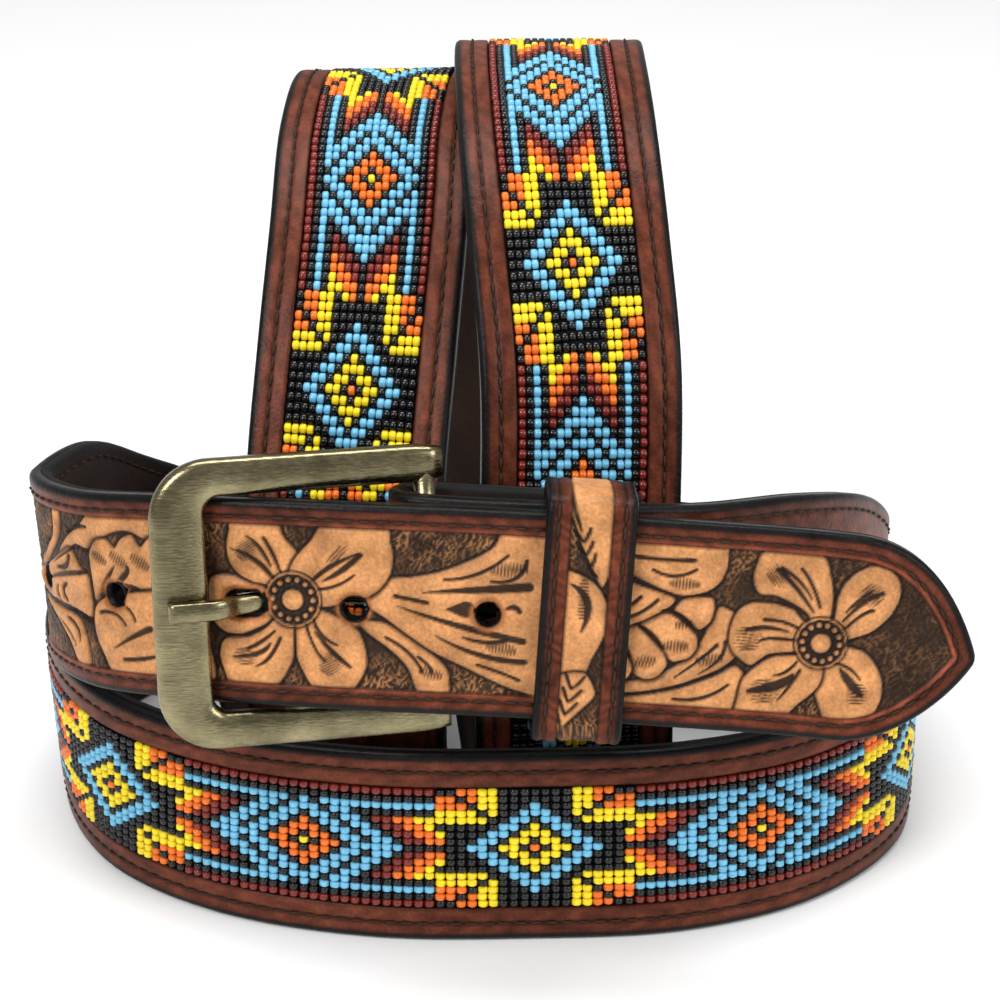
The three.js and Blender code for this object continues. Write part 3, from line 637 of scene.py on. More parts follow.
# Other raised forms, as outlines through places (along, up) on the strap
FORMS = [
    # swirling leaf and the leaf below it, left of the first flower
    [(67, -13.2), (59.5, -12.5), (53, -10.7), (46.5, -7.6), (43.5, -4.9), (43.6, -2.5),
     (43.8, 0.3), (43.5, 2.2), (45.6, 3.6), (47.4, 3.4), (50, -3), (54, -7.5), (60, -10.5),
     (67, -11.3)],
    [(72, -14.0), (66.7, -14.0), (59.5, -13.3), (53, -11.6), (46.5, -8.7), (43.6, -6.8),
     (42.0, -7.9), (41.0, -10.4), (41.6, -13.6), (43, -16), (56, -16.4), (72, -16.4)],
    # scalloped shell
    [(53.4, 4.9), (48.8, 5.5), (48.0, 3.5), (48.6, 1.0), (50.4, -0.4), (52.6, 0.8),
     (55.0, 2.6)],
    [(57.0, 2.0), (54.0, 1.4), (51.2, -0.9), (50.5, -3.5), (51.8, -5.7), (54.3, -6.6),
     (56.2, -5.6), (59.0, -3.0), (61.0, 0.0)],
    [(62.0, -0.6), (59.5, -2.4), (56.4, -5.4), (55.7, -7.6), (57.2, -9.6), (59.5, -10.2),
     (61.6, -9.0), (63.6, -6.0), (66.0, -2.4)],
    [(67.0, -2.0), (63.4, -5.6), (61.9, -8.6), (63.0, -10.7), (65.6, -11.6), (69, -11.6),
     (72, -11), (72, -2.6)],
    # leaves above it, by the keeper
    [(72, 9.5), (65.7, 8.1), (60.9, 6.6), (55.3, 4.9), (56.9, 2.7), (62.1, -0.2), (66, -0.9),
     (72, -1.0)],
    [(72, 16), (64, 16.4), (55, 16.4), (47.0, 16), (46.4, 13.6), (46.4, 11.2), (47.5, 8.3),
     (49.8, 6.5), (53.7, 5.6), (57.6, 6.5), (61.5, 8.1), (65.6, 9.7), (72, 11.5)],
    # spray fanning to the keeper from the second flower
    [(110.6, -2.4), (106.1, -2.5), (101.8, -5.1), (97.4, -8.1), (95.2, -10.3), (94.5, -12.3),
     (94.8, -15.6), (99.6, -15.6), (101.8, -10.6), (105.3, -7.1), (109.1, -4.4)],
    [(110.2, 1.6), (105.9, 5.5), (100.9, 6.3), (96.3, 7.5), (91.4, 9.7), (87.5, 12.2),
     (85.2, 16.0), (77, 16.4), (71, 16), (71, 0), (71, -15.4), (81.8, -13.8), (86.7, -12.1),
     (90.8, -10.3), (97.4, -7.4), (101.8, -4.6), (106.1, -1.5)],
    # leaf over the shell at the left of the buckle
    [(178, 4.0), (174, 7.8), (171, 10.2), (166.6, 12.7), (162, 15.8), (152, 16.6), (143, 16.4),
     (143, 8), (153.9, 12.2), (159.7, 11.2), (165, 8.4), (169, 8.8), (174, 6.0)],
    [(164.7, -1.5), (164.9, 3.1), (164.7, 7.4), (162.6, 9.9), (159.7, 10.4), (157.8, 8.8),
     (156, 10.6), (153.5, 11.4), (151.8, 9.2), (149.8, 10.8), (146.6, 11.6), (142, 10),
     (141, 2), (153.9, 1.4), (159.7, 0.7), (163, -0.7)],
    [(164.6, -2.3), (165.9, -4.6), (166.0, -7.0), (165.7, -9.5), (164.4, -12.2), (162, -16),
     (152, -16.8), (139, -16.4), (139, -8), (143, 0.6), (150, 1.0), (157.2, 0.2),
     (162, -0.8)],
    # spray at the left turn
    [(186, 0.6), (184, 3.9), (177, 9.4), (175.6, 15.4), (173.4, 15.2), (174.5, 9.8),
     (180.5, 4.3)],
    [(190, 0), (184, 1.5), (180, 3.6), (175, 6.0), (171, 7.6), (168.4, 4.4), (166.2, 3.0),
     (165.9, -1.5), (167, -5.4), (170.5, -4.4), (176, -4.2), (182, -3.6), (188, -2.6)],
    [(186, -4.4), (180, -4.9), (173, -5.3), (170.3, -6.5), (169.3, -9.6), (169.3, -15.4),
     (173.0, -15.4), (176, -10.8), (180.7, -7.3)],
    # what the bend hides, in the same manner
    [(190, 0.8), (196, 5), (201, 11), (206, 15.4), (210, 15.4), (204, 7), (197, 2.6)],
    [(190, -2.8), (196, -6), (201, -11), (206, -15.4), (210, -15.4), (204, -8), (197, -4.4)],
    [(190, 0), (198, 1.6), (206, 3.2), (211, 0), (206, -3.2), (198, -2.8)],
]

# Cuts: three places (along, up) and the half widths there
CUTS = [
    # leaves right of the keeper
    (65.6, 12.6, 59.5, 12.0, 52.2, 12.2, 0.30, 0.38, 0.36),
    (59.5, 10.0, 55.6, 9.1, 51.8, 10.5, 0.30, 0.32, 0.28),
    (66.2, 5.0, 65.0, 5.4, 64.3, 5.9, 0.35, 0.35, 0.30),
    (65.9, 2.2, 63.4, 3.1, 61.3, 4.9, 0.30, 0.34, 0.34),
    (64.9, 0.8, 61.5, 1.8, 58.2, 4.5, 0.30, 0.34, 0.34),
    (57.2, 2.6, 54.0, 1.7, 50.9, -1.1, 0.20, 0.55, 0.35),
    (61.8, -0.3, 58.9, -1.9, 56.6, -4.5, 0.20, 0.55, 0.30),
    (66.4, -2.0, 64.1, -3.8, 62.5, -6.2, 0.30, 0.50, 0.20),
    (54.0, -9.4, 49.8, -5.9, 47.0, -3.0, 0.15, 0.30, 0.35),
    (49.8, -8.5, 46.4, -5.6, 45.6, -2.4, 0.10, 0.30, 0.35),
    (54.0, -13.5, 48.8, -12.9, 44.4, -10.2, 0.30, 0.34, 0.25),
    # spray left of the keeper
    (99.6, 3.6, 90.5, 4.4, 81.0, 5.4, 0.06, 0.62, 0.85),
    (104.0, 0.9, 93.4, -2.2, 81.5, -4.6, 0.06, 0.52, 0.60),
    (97.2, -4.2, 89.4, -7.4, 81.0, -8.4, 0.10, 0.45, 0.50),
    (104.5, 2.7, 101.6, 2.2, 98.8, 1.7, 0.36, 0.38, 0.36),
    (95.9, 6.1, 90.0, 7.4, 84.9, 11.0, 0.24, 0.34, 0.26),
    (87.7, 6.1, 83.4, 6.9, 81.6, 10.2, 0.20, 0.36, 0.36),
    (95.3, 0.7, 93.4, 0.7, 91.9, 0.8, 0.15, 0.90, 1.50),
    (90.4, 0.6, 89.0, 0.9, 87.2, 1.8, 0.20, 0.60, 0.40),
    (84.8, 1.2, 83.4, 1.6, 82.4, 0.8, 0.20, 0.50, 0.40),
    (92.4, -4.3, 88.2, -5.1, 84.3, -4.6, 0.15, 0.35, 0.30),
    (89.5, -9.3, 85.4, -10.5, 81.8, -11.8, 0.28, 0.30, 0.30),
    (106.0, -5.0, 101.8, -7.7, 99.3, -11.2, 0.30, 0.34, 0.24),
    (100.2, -8.3, 98.2, -10.0, 97.6, -11.4, 0.26, 0.34, 0.20),
    # shell and petal left of the buckle
    (163.4, -3.6, 159.7, -3.6, 157.2, -5.7, 0.35, 0.35, 0.20),
    (159.7, -1.6, 156.4, -2.3, 154.8, -4.7, 0.36, 0.36, 0.30),
    (160.9, -10.2, 156.0, -7.8, 151.4, -6.0, 0.10, 0.42, 0.60),
    (158.9, -12.3, 154.7, -11.9, 151.4, -11.3, 0.40, 0.40, 0.35),
    (163.2, -0.6, 158.0, 1.4, 153.5, 1.4, 0.30, 0.80, 0.30),
    (162.2, 0.6, 160.5, 2.8, 158.0, 5.6, 0.30, 0.50, 0.12),
    (158.0, 2.3, 155.6, 4.1, 154.8, 5.4, 0.50, 0.60, 0.30),
    (171.0, 11.0, 167.6, 12.2, 164.2, 12.6, 0.20, 0.34, 0.30),
    # spray at the left turn
    (181.4, 0.0, 174.6, 2.2, 166.6, 3.6, 0.10, 0.45, 0.42),
    (177.6, 4.2, 172.8, 6.6, 169.6, 7.9, 0.10, 0.32, 0.32),
    (176.0, 3.4, 172.6, 4.2, 171.4, 6.2, 0.30, 0.60, 0.50),
    (176.8, -0.2, 177.6, -1.6, 176.4, -3.6, 0.12, 0.50, 0.22),
    (173.2, 0.6, 175.0, -1.0, 173.8, -2.8, 0.30, 0.62, 0.42),
    (180.0, -3.6, 172.2, -4.4, 166.8, -5.6, 0.12, 0.40, 0.55),
    (179.6, -7.0, 175.2, -8.9, 172.8, -11.4, 0.12, 0.30, 0.12),
    (174.6, -6.4, 171.6, -7.8, 171.2, -10.4, 0.30, 0.50, 0.12),
    (178.6, 9.0, 180.6, 6.4, 183.0, 3.6, 0.12, 0.34, 0.12),
    (194.0, 2.6, 199.0, 7.0, 205.0, 12.0, 0.12, 0.36, 0.12),
    (194.0, -4.6, 199.0, -8.0, 205.0, -12.4, 0.12, 0.36, 0.12),
    (194.0, 0.0, 200.0, 0.4, 206.0, 0.0, 0.12, 0.40, 0.12),
]

# Ribs: the middle of a patch, the way its cuts run, how many and how long
RIBS = [
    (53.7, 7.8, 90, 10, 2.2), (54.3, -3.7, 95, 8, 2.6), (59.5, -6.9, 105, 7, 2.6),
    (65.1, -8.7, 110, 7, 2.4), (48.2, -5.7, 100, 9, 2.4), (53.2, 0.4, 100, 6, 1.8),
    (84.6, 8.4, 95, 12, 2.6), (85.4, -6.0, 80, 10, 2.6), (97.8, -11.2, 75, 8, 2.4),
    (161.6, 6.9, 60, 7, 2.2), (156.8, 6.8, 60, 8, 2.4), (151.8, 6.6, 60, 8, 2.6),
]

TOOLED_END = 215.0
ZONE_EDGE = 4.3


def placed(centre, numbers):
    """Places of a flower's table, measured from its centre, as places on the strap."""
    numbers = np.array(numbers, float).reshape(-1, 2)
    return np.array(centre) + numbers * np.array([-1, 1])


def tool_billet():
    """The tooled field of the tip billet."""
    panel = Panel(0, TOOLED_END, -HALF_WIDTH, HALF_WIDTH)
    for outline in FORMS:
        draw_outline(panel, outline)
    for centre, _, petals, _, _ in FLOWERS:
        for petal in petals:
            draw_outline(panel, placed(centre, petal))
    for row in CUTS:
        draw_cut(panel, row)
    for row in RIBS:
        draw_ribs(panel, row)
    for centre, disc, _, cuts, ribs in FLOWERS:
        for row in ribs:
            draw_ribs(panel, (*placed(centre, row[:2])[0], *row[2:]))
        for row in cuts:
            draw_cut(panel, (*placed(centre, row[:6]).ravel(), *row[6:]))
        draw_disc(panel, centre, disc)
    return panel


billet_panel = tool_billet()

EDGE_ROUND = 1.1
STITCH_INSET = 3.0
BEAD_STITCH_INSET = 3.5


def rim_drop(inside, radius):
    """How far a rounded rim lies below the flat, by distance inside the edge."""
    gap = np.clip(radius - inside, 0, radius)
    return radius - np.sqrt(np.maximum(radius ** 2 - gap ** 2, 0))


def margin_paint(inside, stitch, along):
    """Colour of a plain margin: black at the edge, red-brown within, dark by the stitches."""
    streak = np.sin(along * 0.83 + 2.6 * np.sin(along * 0.19 + inside * 0.9))
    fade = np.sin(along * 0.061) * np.cos(along * 0.017)
    brown = MARGIN_BROWN[None] * (1 + 0.28 * streak + 0.25 * fade)[..., None]
    black = smoothstep(1.9, 0.9, inside)[..., None]
    paint = brown * (1 - black) + EDGE_BLACK * black
    groove = np.exp(-((inside - stitch) / 0.42) ** 2)[..., None]
    return paint * (1 - 0.85 * groove)


def groove_depth(inside, stitch):
    return 0.22 * np.exp(-((inside - stitch) / 0.5) ** 2)


def billet_surface(along, up, panel):
    """Height over the flat face and colour of a billet's outer side."""
    inside = from_edge(along, up)
    height = -rim_drop(inside, EDGE_ROUND) - groove_depth(inside, STITCH_INSET)
    paint = margin_paint(inside, STITCH_INSET, along)
    if panel is None:
        return height, paint
    depth = panel.read(panel.depth, along, up)
    tone = panel.read(panel.tone, along, up)[..., None]
    worn = 0.93 + 0.07 * np.sin(along * 0.37 + up * 0.9)[..., None]
    strip = smoothstep(STITCH_INSET, ZONE_EDGE, inside)[..., None]
    paint = paint * (1 + 1.3 * strip)
    tooled = (DARK * (1 - tone) + TAN * tone) * worn
    line = np.exp(-((inside - ZONE_EDGE) / 0.28) ** 2)
    zone = smoothstep(ZONE_EDGE - 0.1, ZONE_EDGE + 0.25, inside)
    height = height + depth * zone - 0.25 * line
    zone, line = zone[..., None], line[..., None]
    paint = paint * (1 - zone) + tooled * zone
    for hole in hole_list():
        gap = hole_gap(along, up, hole)
        height = height - 0.5 * smoothstep(1.0, 0.0, gap)
        rim = np.exp(-((gap - 0.55) / 0.45) ** 2)[..., None]
        dark = smoothstep(0.45, 0.0, gap)[..., None]
        paint = paint * (1 - rim) + WORN_TAN * rim
        paint = paint * (1 - dark) + DARK * dark
    return height, paint * (1 - 0.8 * line)


def hole_list(fold=False):
    """Holes as capsules: start and end along, and radius."""
    if fold:
        return [(FOLD_START - 1.6 * FOLD_RADIUS, FOLD_START + 4.6 * FOLD_RADIUS, SLOT_RADIUS)]
    holes = []
    for i in range(HOLE_COUNT):
        along = FIRST_HOLE + i * HOLE_SPACING
        slotted = i == PRONG_HOLE
        reach = PRONG_SLOT_HALF if slotted else 0.0
        along += PRONG_SLOT_SHIFT if slotted else 0.0
        holes.append((along - reach, along + reach, SLOT_RADIUS if slotted else HOLE_RADIUS))
    return holes


def hole_gap(along, up, hole):
    start, end, radius = hole
    nearest = np.clip(along, start, end)
    return np.hypot(along - nearest, up) - radius


def open_holes(along, up, holes, spacing):
    """Moves points near a hole's rim onto it. Returns which points lie inside a hole."""
    inside = np.zeros(along.shape, bool)
    for hole in holes:
        gap = hole_gap(along, up, hole)
        nearest = np.clip(along, hole[0], hole[1])
        near = np.abs(gap) < spacing * 0.5
        reach = np.maximum(np.hypot(along - nearest, up), 1e-6)
        scale = np.where(near, hole[2] / reach, 1.0)
        along[:] = nearest + (along - nearest) * scale
        up[:] = up * scale
        inside |= hole_gap(along, up, hole) < 0.02
    return inside


def strap_solid(name, lengths, top_shares, bottom_shares, surface, inner, outer, holes,
                spacing, node, flip=False):
    """A closed layer of the strap: a worked side, a plain side and the two edges between them."""
    top_columns, bottom_columns = len(top_shares), len(bottom_shares)
    columns = top_columns + bottom_columns
    shares = np.r_[top_shares, bottom_shares[::-1]]
    along = np.repeat(lengths[:, None], columns, 1)
    up = half_width_at(along) * shares[None]
    hidden = open_holes(along, up, holes, spacing) if holes else np.zeros(along.shape, bool)
    height, colour = surface(along, up)
    worked = np.arange(columns) < top_columns
    out = np.where(worked[None], outer + height * (-1 if flip else 1), inner)
    points = on_strap(along, up, out).reshape(-1, 3)
    colour = np.where(worked[None, :, None], colour, DARK)
    quads = loop_faces(len(lengths), columns)
    first, last = cap_faces(len(lengths), columns)
    if not flip:
        quads = quads[:, ::-1]
        first, last = first[:, ::-1], last[:, ::-1]
    if holes:
        quads = quads[~hidden.ravel()[quads].all(1)]
    return make_piece(name, points, [quads, first, last], colour.reshape(-1, 3), node)


ZONE_HALF = 14.8
FRONT_STEP = 0.3
ROUGH_STEP = 1.0
MARGIN_STEP = 0.6
HOLE_STEP = 0.6


def even(start, end, step):
    return np.linspace(start, end, int(math.ceil(abs(end - start) / step)) + 1)


def columns_of(fine_step):
    """Column places across the strap as shares, fine in the middle and at the rims."""
    rim = [HALF_WIDTH - reach for reach in (0.0, 0.12, 0.35, 0.7, 1.1)]
    margin = list(np.arange(HALF_WIDTH - 1.6, ZONE_HALF, -MARGIN_STEP))
    middle = list(even(0, ZONE_HALF, fine_step))
    side = np.array(sorted(set(np.round(middle + margin + rim, 4))))
    return np.r_[-side[:0:-1], side] / HALF_WIDTH


BOTTOM_FINE = np.r_[-1, -0.75, -0.5, even(-3.6, 3.6, HOLE_STEP) / HALF_WIDTH, 0.5, 0.75, 1]
BOTTOM_PLAIN = np.array([-1, -0.5, 0, 0.5, 1])

TIP_SECTIONS = TIP_BLUNT + (TIP_LENGTH - TIP_BLUNT) * np.linspace(0, 1, 90) ** 1.35
TOOLED_SPLIT = 74.0


def build_billets():
    pieces = []
    fine = columns_of(FRONT_STEP)
    rough = columns_of(ROUGH_STEP)
    inner = LINING_OUTER + 0.1
    rows = [
        ("tip_billet", np.r_[TIP_SECTIONS, even(TIP_LENGTH, TOOLED_SPLIT, FRONT_STEP)[1:]],
         fine, BOTTOM_PLAIN, billet_panel, (), ["strap_face"]),
        ("tip_billet_holes", even(TOOLED_SPLIT, TOOLED_END, FRONT_STEP),
         fine, BOTTOM_FINE, billet_panel, hole_list(), None),
        ("tip_billet_rear", even(TOOLED_END, BEAD_START - 0.2, 1.2),
         rough, BOTTOM_PLAIN, None, (), None),
        ("buckle_billet", even(BEAD_END + 0.2, TOTAL_LENGTH, 1.3),
         rough, BOTTOM_FINE, None, hole_list(True), None),
    ]
    for name, lengths, columns, bottom, panel, holes, node in rows:
        def surface(along, up, tooling=panel):
            return billet_surface(along, up, tooling)

        step = lengths[-1] - lengths[-2]
        pieces.append(strap_solid(name, lengths, columns, bottom, surface, inner, FACE_OUTER,
                                  holes, step, node))
    return pieces


def build_margins():
    """The two leather margins beside the beadwork, with a rounded rim on both sides."""
    lengths = even(BEAD_START, BEAD_END, 2.4)
    inside = np.array([0, 0.12, 0.35, 0.7, 1.1, 1.7, 2.3, 2.7, 3.1, 3.5, 3.75, 4.0, 4.25, 4.5,
                       4.9, 5.4, 5.9, 6.25, 6.5, 6.62, 6.7])
    out = FACE_OUTER - rim_drop(inside, EDGE_ROUND) - rim_drop(MARGIN_WIDTH - inside, 0.6)
    out = out - groove_depth(inside, BEAD_STITCH_INSET)
    up = HALF_WIDTH - inside
    loop_up = np.r_[up, up[-1], up[0]]
    loop_out = np.r_[out, LINING_OUTER + 0.1, LINING_OUTER + 0.1]
    columns = len(loop_up)
    along = np.repeat(lengths[:, None], columns, 1)
    stitch = np.full(loop_up.shape, BEAD_STITCH_INSET)
    from_rim = np.r_[inside, MARGIN_WIDTH, 0]
    paint = margin_paint(np.broadcast_to(from_rim, along.shape), stitch, along)
    darker = smoothstep(0.75, 0.0, MARGIN_WIDTH - from_rim)[None, :, None]
    paint = paint * (1 - 0.7 * darker)
    points, faces, paints = [], [], []
    quads = loop_faces(len(lengths), columns)
    first, last = cap_faces(len(lengths), columns)
    for i, side in enumerate((1, -1)):
        start = i * along.size
        place = on_strap(along, side * np.broadcast_to(loop_up, along.shape),
                         np.broadcast_to(loop_out, along.shape))
        points.append(place.reshape(-1, 3))
        paints.append(paint.reshape(-1, 3))
        for group in (quads, first, last):
            turned = group if side > 0 else group[:, ::-1]
            faces.append(turned + start)
    return make_piece("bead_margins", np.vstack(points), faces, np.vstack(paints),
                      None)


def lining_surface(along, up):
    inside = from_edge(along, up)
    height = -rim_drop(inside, EDGE_ROUND) - groove_depth(inside, STITCH_INSET)
    grain = 0.85 + 0.15 * np.sin(along * 0.21 + 2 * np.sin(up * 0.31))[..., None]
    brown = np.array([0.030, 0.014, 0.009]) * grain
    black = smoothstep(1.6, 0.7, inside)[..., None]
    return height, brown * (1 - black) + EDGE_BLACK * black


def build_lining():
    holes = hole_list() + hole_list(True)
    first = FIRST_HOLE - 4
    last = FIRST_HOLE + 4 * HOLE_SPACING + 4
    fold = FOLD_START - 14
    lengths = np.r_[TIP_SECTIONS[::4], TIP_LENGTH, even(TIP_LENGTH, first, 3.0)[1:],
                    even(first, last, HOLE_STEP)[1:], even(last, fold, 3.8)[1:],
                    even(fold, TOTAL_LENGTH, 0.8)[1:]]
    lengths = np.unique(np.round(lengths, 3))
    rim = np.array([19, 18.88, 18.65, 18.3, 17.9, 17.0, 16.0, 15.25, 14.5, 12.0, 9.0, 6.0])
    middle = even(0, 3.6, HOLE_STEP)
    side = np.array(sorted(set(np.round(np.r_[rim, middle], 3))))
    shares = np.r_[-side[:0:-1], side] / HALF_WIDTH
    return strap_solid("lining", lengths, shares, BOTTOM_FINE, lining_surface,
                       LINING_OUTER, LINING_INNER, holes, HOLE_STEP,
                       ["strap_lining"], True)


def build_hole_rings():
    """Dark walls of the holes through both leathers."""
    points, faces = [], []
    steps = 36
    wall = 0.25
    start = 0
    turn = np.linspace(0, 2 * math.pi, steps, endpoint=False)
    for low, high, radius in hole_list():
        radii = np.array([radius, radius, radius + wall, radius + wall])
        depths = np.array([FACE_OUTER - 0.5, LINING_INNER + 0.1,
                           LINING_INNER + 0.15, FACE_OUTER - 0.55])
        end = (low + high) / 2 + np.sign(np.cos(turn)) * (high - low) / 2
        along = end[:, None] + np.cos(turn)[:, None] * radii[None]
        up = np.sin(turn)[:, None] * radii[None]
        out = np.broadcast_to(depths[None], along.shape)
        points.append(on_strap(along, up, out).reshape(-1, 3))
        faces.append(loop_faces(steps, len(radii), True) + start)
        start += along.size
    paint = np.tile(EDGE_BLACK, (start, 1))
    return make_piece("hole_walls", np.vstack(points), faces, paint, None)


def build_backing():
    lengths = even(BEAD_START + 0.2, BEAD_END - 0.2, 3.0)
    half = HALF_WIDTH - MARGIN_WIDTH - 0.1
    shares = np.linspace(-1, 1, 9) * half / HALF_WIDTH

    def surface(along, up):
        return np.zeros(along.shape), np.tile(EDGE_BLACK, (*along.shape, 1))

    return strap_solid("bead_backing", lengths, shares, shares[[0, 4, 8]], surface,
                       FACE_INNER, PANEL_OUTER, (), 0.3, ["bead_panel"])


# Beads: rows run across the strap, and each bead's bore lies along its row
BEAD_COLUMNS = 17
BEAD_COLUMN_PITCH = 1.43
BEAD_ROW_PITCH = 1.964
BEAD_SEAT = 1.52
BEAD_END_GAP = 0.8

# The chart's phase on the first arch, the second arch and the wide loop
FIRST_ANCHOR = 525.6
ANCHOR = 840.0
ANCHOR_CHANGE = 695.0
LOOP_ANCHOR = 1268.0
LOOP_START = 1010.0

# Half of the chart: columns from the strap's edge to its middle, rows from the small diamond
# to the large one. Both are mirrored. K black, B blue, Y yellow, O orange, R dark red.
BEAD_CHART = [
    "KKBBKYYKO",
    "KKKBBKYYK",
    "KKKKBBKYY",
    "KKKKKBBKY",
    "YYYYKKBBK",
    "YYYKYKKBB",
    "OOKYYKKKB",
    "OKOYYKKKK",
    "KOOYYKKKK",
    "KOOYYKYOK",
    "RKBKYYOOK",
    "RKBKYOORK",
    "RKBKOORRK",
    "RKBKORRKB",
    "RKBKRRKBB",
    "RKBKRKBBB",
    "RKBKKBBKB",
    "RKBKBBKBB",
    "RKBBBKBBK",
    "RKBBKBBKO",
    "RKBKBBKOO",
    "RKKBBKOOK",
    "RKBBKOOKY",
]
BEAD_COLOURS = {
    "K": ("black", (0.006, 0.006, 0.007)),
    "B": ("blue", (0.16, 0.47, 0.68)),
    "Y": ("yellow", (0.86, 0.66, 0.015)),
    "O": ("orange", (0.78, 0.16, 0.015)),
    "R": ("red", (0.17, 0.018, 0.012)),
}


def bead_template():
    """A rounded seed bead, open below, closed by a flat bottom. Columns: along, up, out."""
    rings = [(-0.665, 0.60), (-0.43, 0.955), (0.43, 0.955), (0.665, 0.60)]
    arc = np.radians(np.linspace(-18, 198, 7))
    points = [(math.cos(turn) * radius, across, math.sin(turn) * radius)
              for across, radius in rings for turn in arc]
    count = len(arc)
    quads = []
    for i in range(len(rings) - 1):
        for j in range(count):
            beside = (j + 1) % count
            quads.append((i * count + j, i * count + beside,
                          (i + 1) * count + beside, (i + 1) * count + j))
    caps = [list(range(count))[::-1],
            list(range((len(rings) - 1) * count, len(rings) * count))]
    return np.array(points), [np.array(quads), np.array(caps)]


def build_beads():
    rng = np.random.default_rng(7)
    low = math.ceil((ANCHOR - BEAD_END + BEAD_END_GAP) / BEAD_ROW_PITCH)
    high = math.floor((ANCHOR - BEAD_START - BEAD_END_GAP) / BEAD_ROW_PITCH)
    rows = np.arange(high, low - 1, -1)
    along = ANCHOR - rows * BEAD_ROW_PITCH
    first_jump = round((ANCHOR - FIRST_ANCHOR) / BEAD_ROW_PITCH)
    loop_jump = round((LOOP_ANCHOR - ANCHOR) / BEAD_ROW_PITCH)
    chart_rows = np.where(along < ANCHOR_CHANGE, rows - first_jump, rows)
    chart_rows = np.where(along > LOOP_START, rows + loop_jump, chart_rows)
    last_row = len(BEAD_CHART) - 1
    folded = np.abs(chart_rows) % (2 * last_row)
    folded = np.where(folded > last_row, 2 * last_row - folded, folded)
    letters = np.array([[BEAD_CHART[r][min(c, BEAD_COLUMNS - 1 - c)] for c in range(BEAD_COLUMNS)]
                        for r in folded])
    up = (np.arange(BEAD_COLUMNS) - (BEAD_COLUMNS - 1) / 2) * BEAD_COLUMN_PITCH
    along = np.repeat(along[:, None], BEAD_COLUMNS, 1)
    up = np.repeat(up[None], len(rows), 0)
    along = along + rng.normal(0, 0.05, along.shape)
    up = up + rng.normal(0, 0.03, up.shape)
    out = BEAD_SEAT + rng.normal(0, 0.03, up.shape)
    size = 1 + rng.normal(0, 0.025, up.shape)
    tilt = rng.normal(0, 0.06, up.shape)
    template, faces = bead_template()
    for letter, (word, colour) in BEAD_COLOURS.items():
        shine = bead_material(word, colour)
        for part, chosen in (("arches", along < LOOP_START), ("loop", along >= LOOP_START)):
            here = (letters == letter) & chosen
            place, heading, edge, outward = frames_at(along[here])
            centre = place + edge * up[here][:, None] + outward * out[here][:, None]
            turned = heading + edge * tilt[here][:, None]
            aside = edge - heading * tilt[here][:, None]
            scale = size[here][:, None, None]
            axes = np.stack([turned, aside, outward], 1) * scale
            points, groups = copies(template, faces, centre, axes)
            piece = make_piece(f"beads_{word}_{part}", points, groups, None, None)
            piece.data.materials.append(shine)


def stitch_template(length, radius):
    """A stitch of thread whose ends dip into the leather. Columns: along, up, out."""
    rings, sides = 5, 5
    points = []
    for i in range(rings):
        share = i / (rings - 1) * 2 - 1
        lift = radius * 1.1 * (1 - abs(share) ** 3) - radius * 0.55
        thick = radius * (1 - 0.35 * share ** 4)
        for j in range(sides):
            turn = 2 * math.pi * j / sides
            points.append((share * length / 2, math.cos(turn) * thick,
                           lift + math.sin(turn) * thick))
    return np.array(points), [loop_faces(rings, sides), *cap_faces(rings, sides)]


STITCH_PITCH = 3.0
STITCH_LENGTH = 2.3
STITCH_RADIUS = 0.27


def tip_stitch_places():
    """Places and directions of the stitches that follow the pointed tip."""
    outline = np.vstack([TIP_OUTLINE[::-1], TIP_OUTLINE[1:] * np.array([1, -1])])
    run = unit(np.gradient(outline, axis=0))
    inner = outline + np.stack([-run[:, 1], run[:, 0]], 1) * STITCH_INSET
    inner = inner[from_edge(inner[:, 0], inner[:, 1]) > STITCH_INSET - 0.03]
    length = np.r_[0, np.cumsum(np.linalg.norm(np.diff(inner, axis=0), axis=1))]
    count = int(length[-1] / STITCH_PITCH)
    wanted = (np.arange(count) + 0.5) * length[-1] / count
    slope = unit(np.gradient(inner, axis=0))
    return (*(np.interp(wanted, length, inner[:, k]) for k in range(2)),
            *(np.interp(wanted, length, slope[:, k]) for k in range(2)))


def build_stitches():
    template, faces = stitch_template(STITCH_LENGTH, STITCH_RADIUS)
    along = np.arange(TIP_LENGTH + 1, FOLD_START - 2, STITCH_PITCH)
    beaded = (along > BEAD_START) & (along < BEAD_END)
    inset = np.where(beaded, BEAD_STITCH_INSET, STITCH_INSET)
    tip_along, tip_up, step_along, step_up = tip_stitch_places()
    pieces = []
    for name, face_out, turn_out in (("stitches_face", FACE_OUTER - 0.14, 1),
                                     ("stitches_lining", LINING_INNER + 0.14, -1)):
        centres, axes = [], []
        place, heading, edge, outward = frames_at(along)
        for side in (1, -1):
            up = side * (HALF_WIDTH - inset)
            centres.append(place + edge * up[:, None] + outward * face_out)
            axes.append(np.stack([heading * turn_out, edge, outward * turn_out], 1))
        place, heading, edge, outward = frames_at(tip_along)
        centres.append(place + edge * tip_up[:, None] + outward * face_out)
        course = unit(heading * step_along[:, None] + edge * step_up[:, None])
        aside = np.cross(outward, course)
        axes.append(np.stack([course, aside, outward * turn_out], 1))
        points, groups = copies(template, faces, np.vstack(centres), np.vstack(axes))
        pieces.append(make_piece(name, points, groups, None, None))
    return pieces


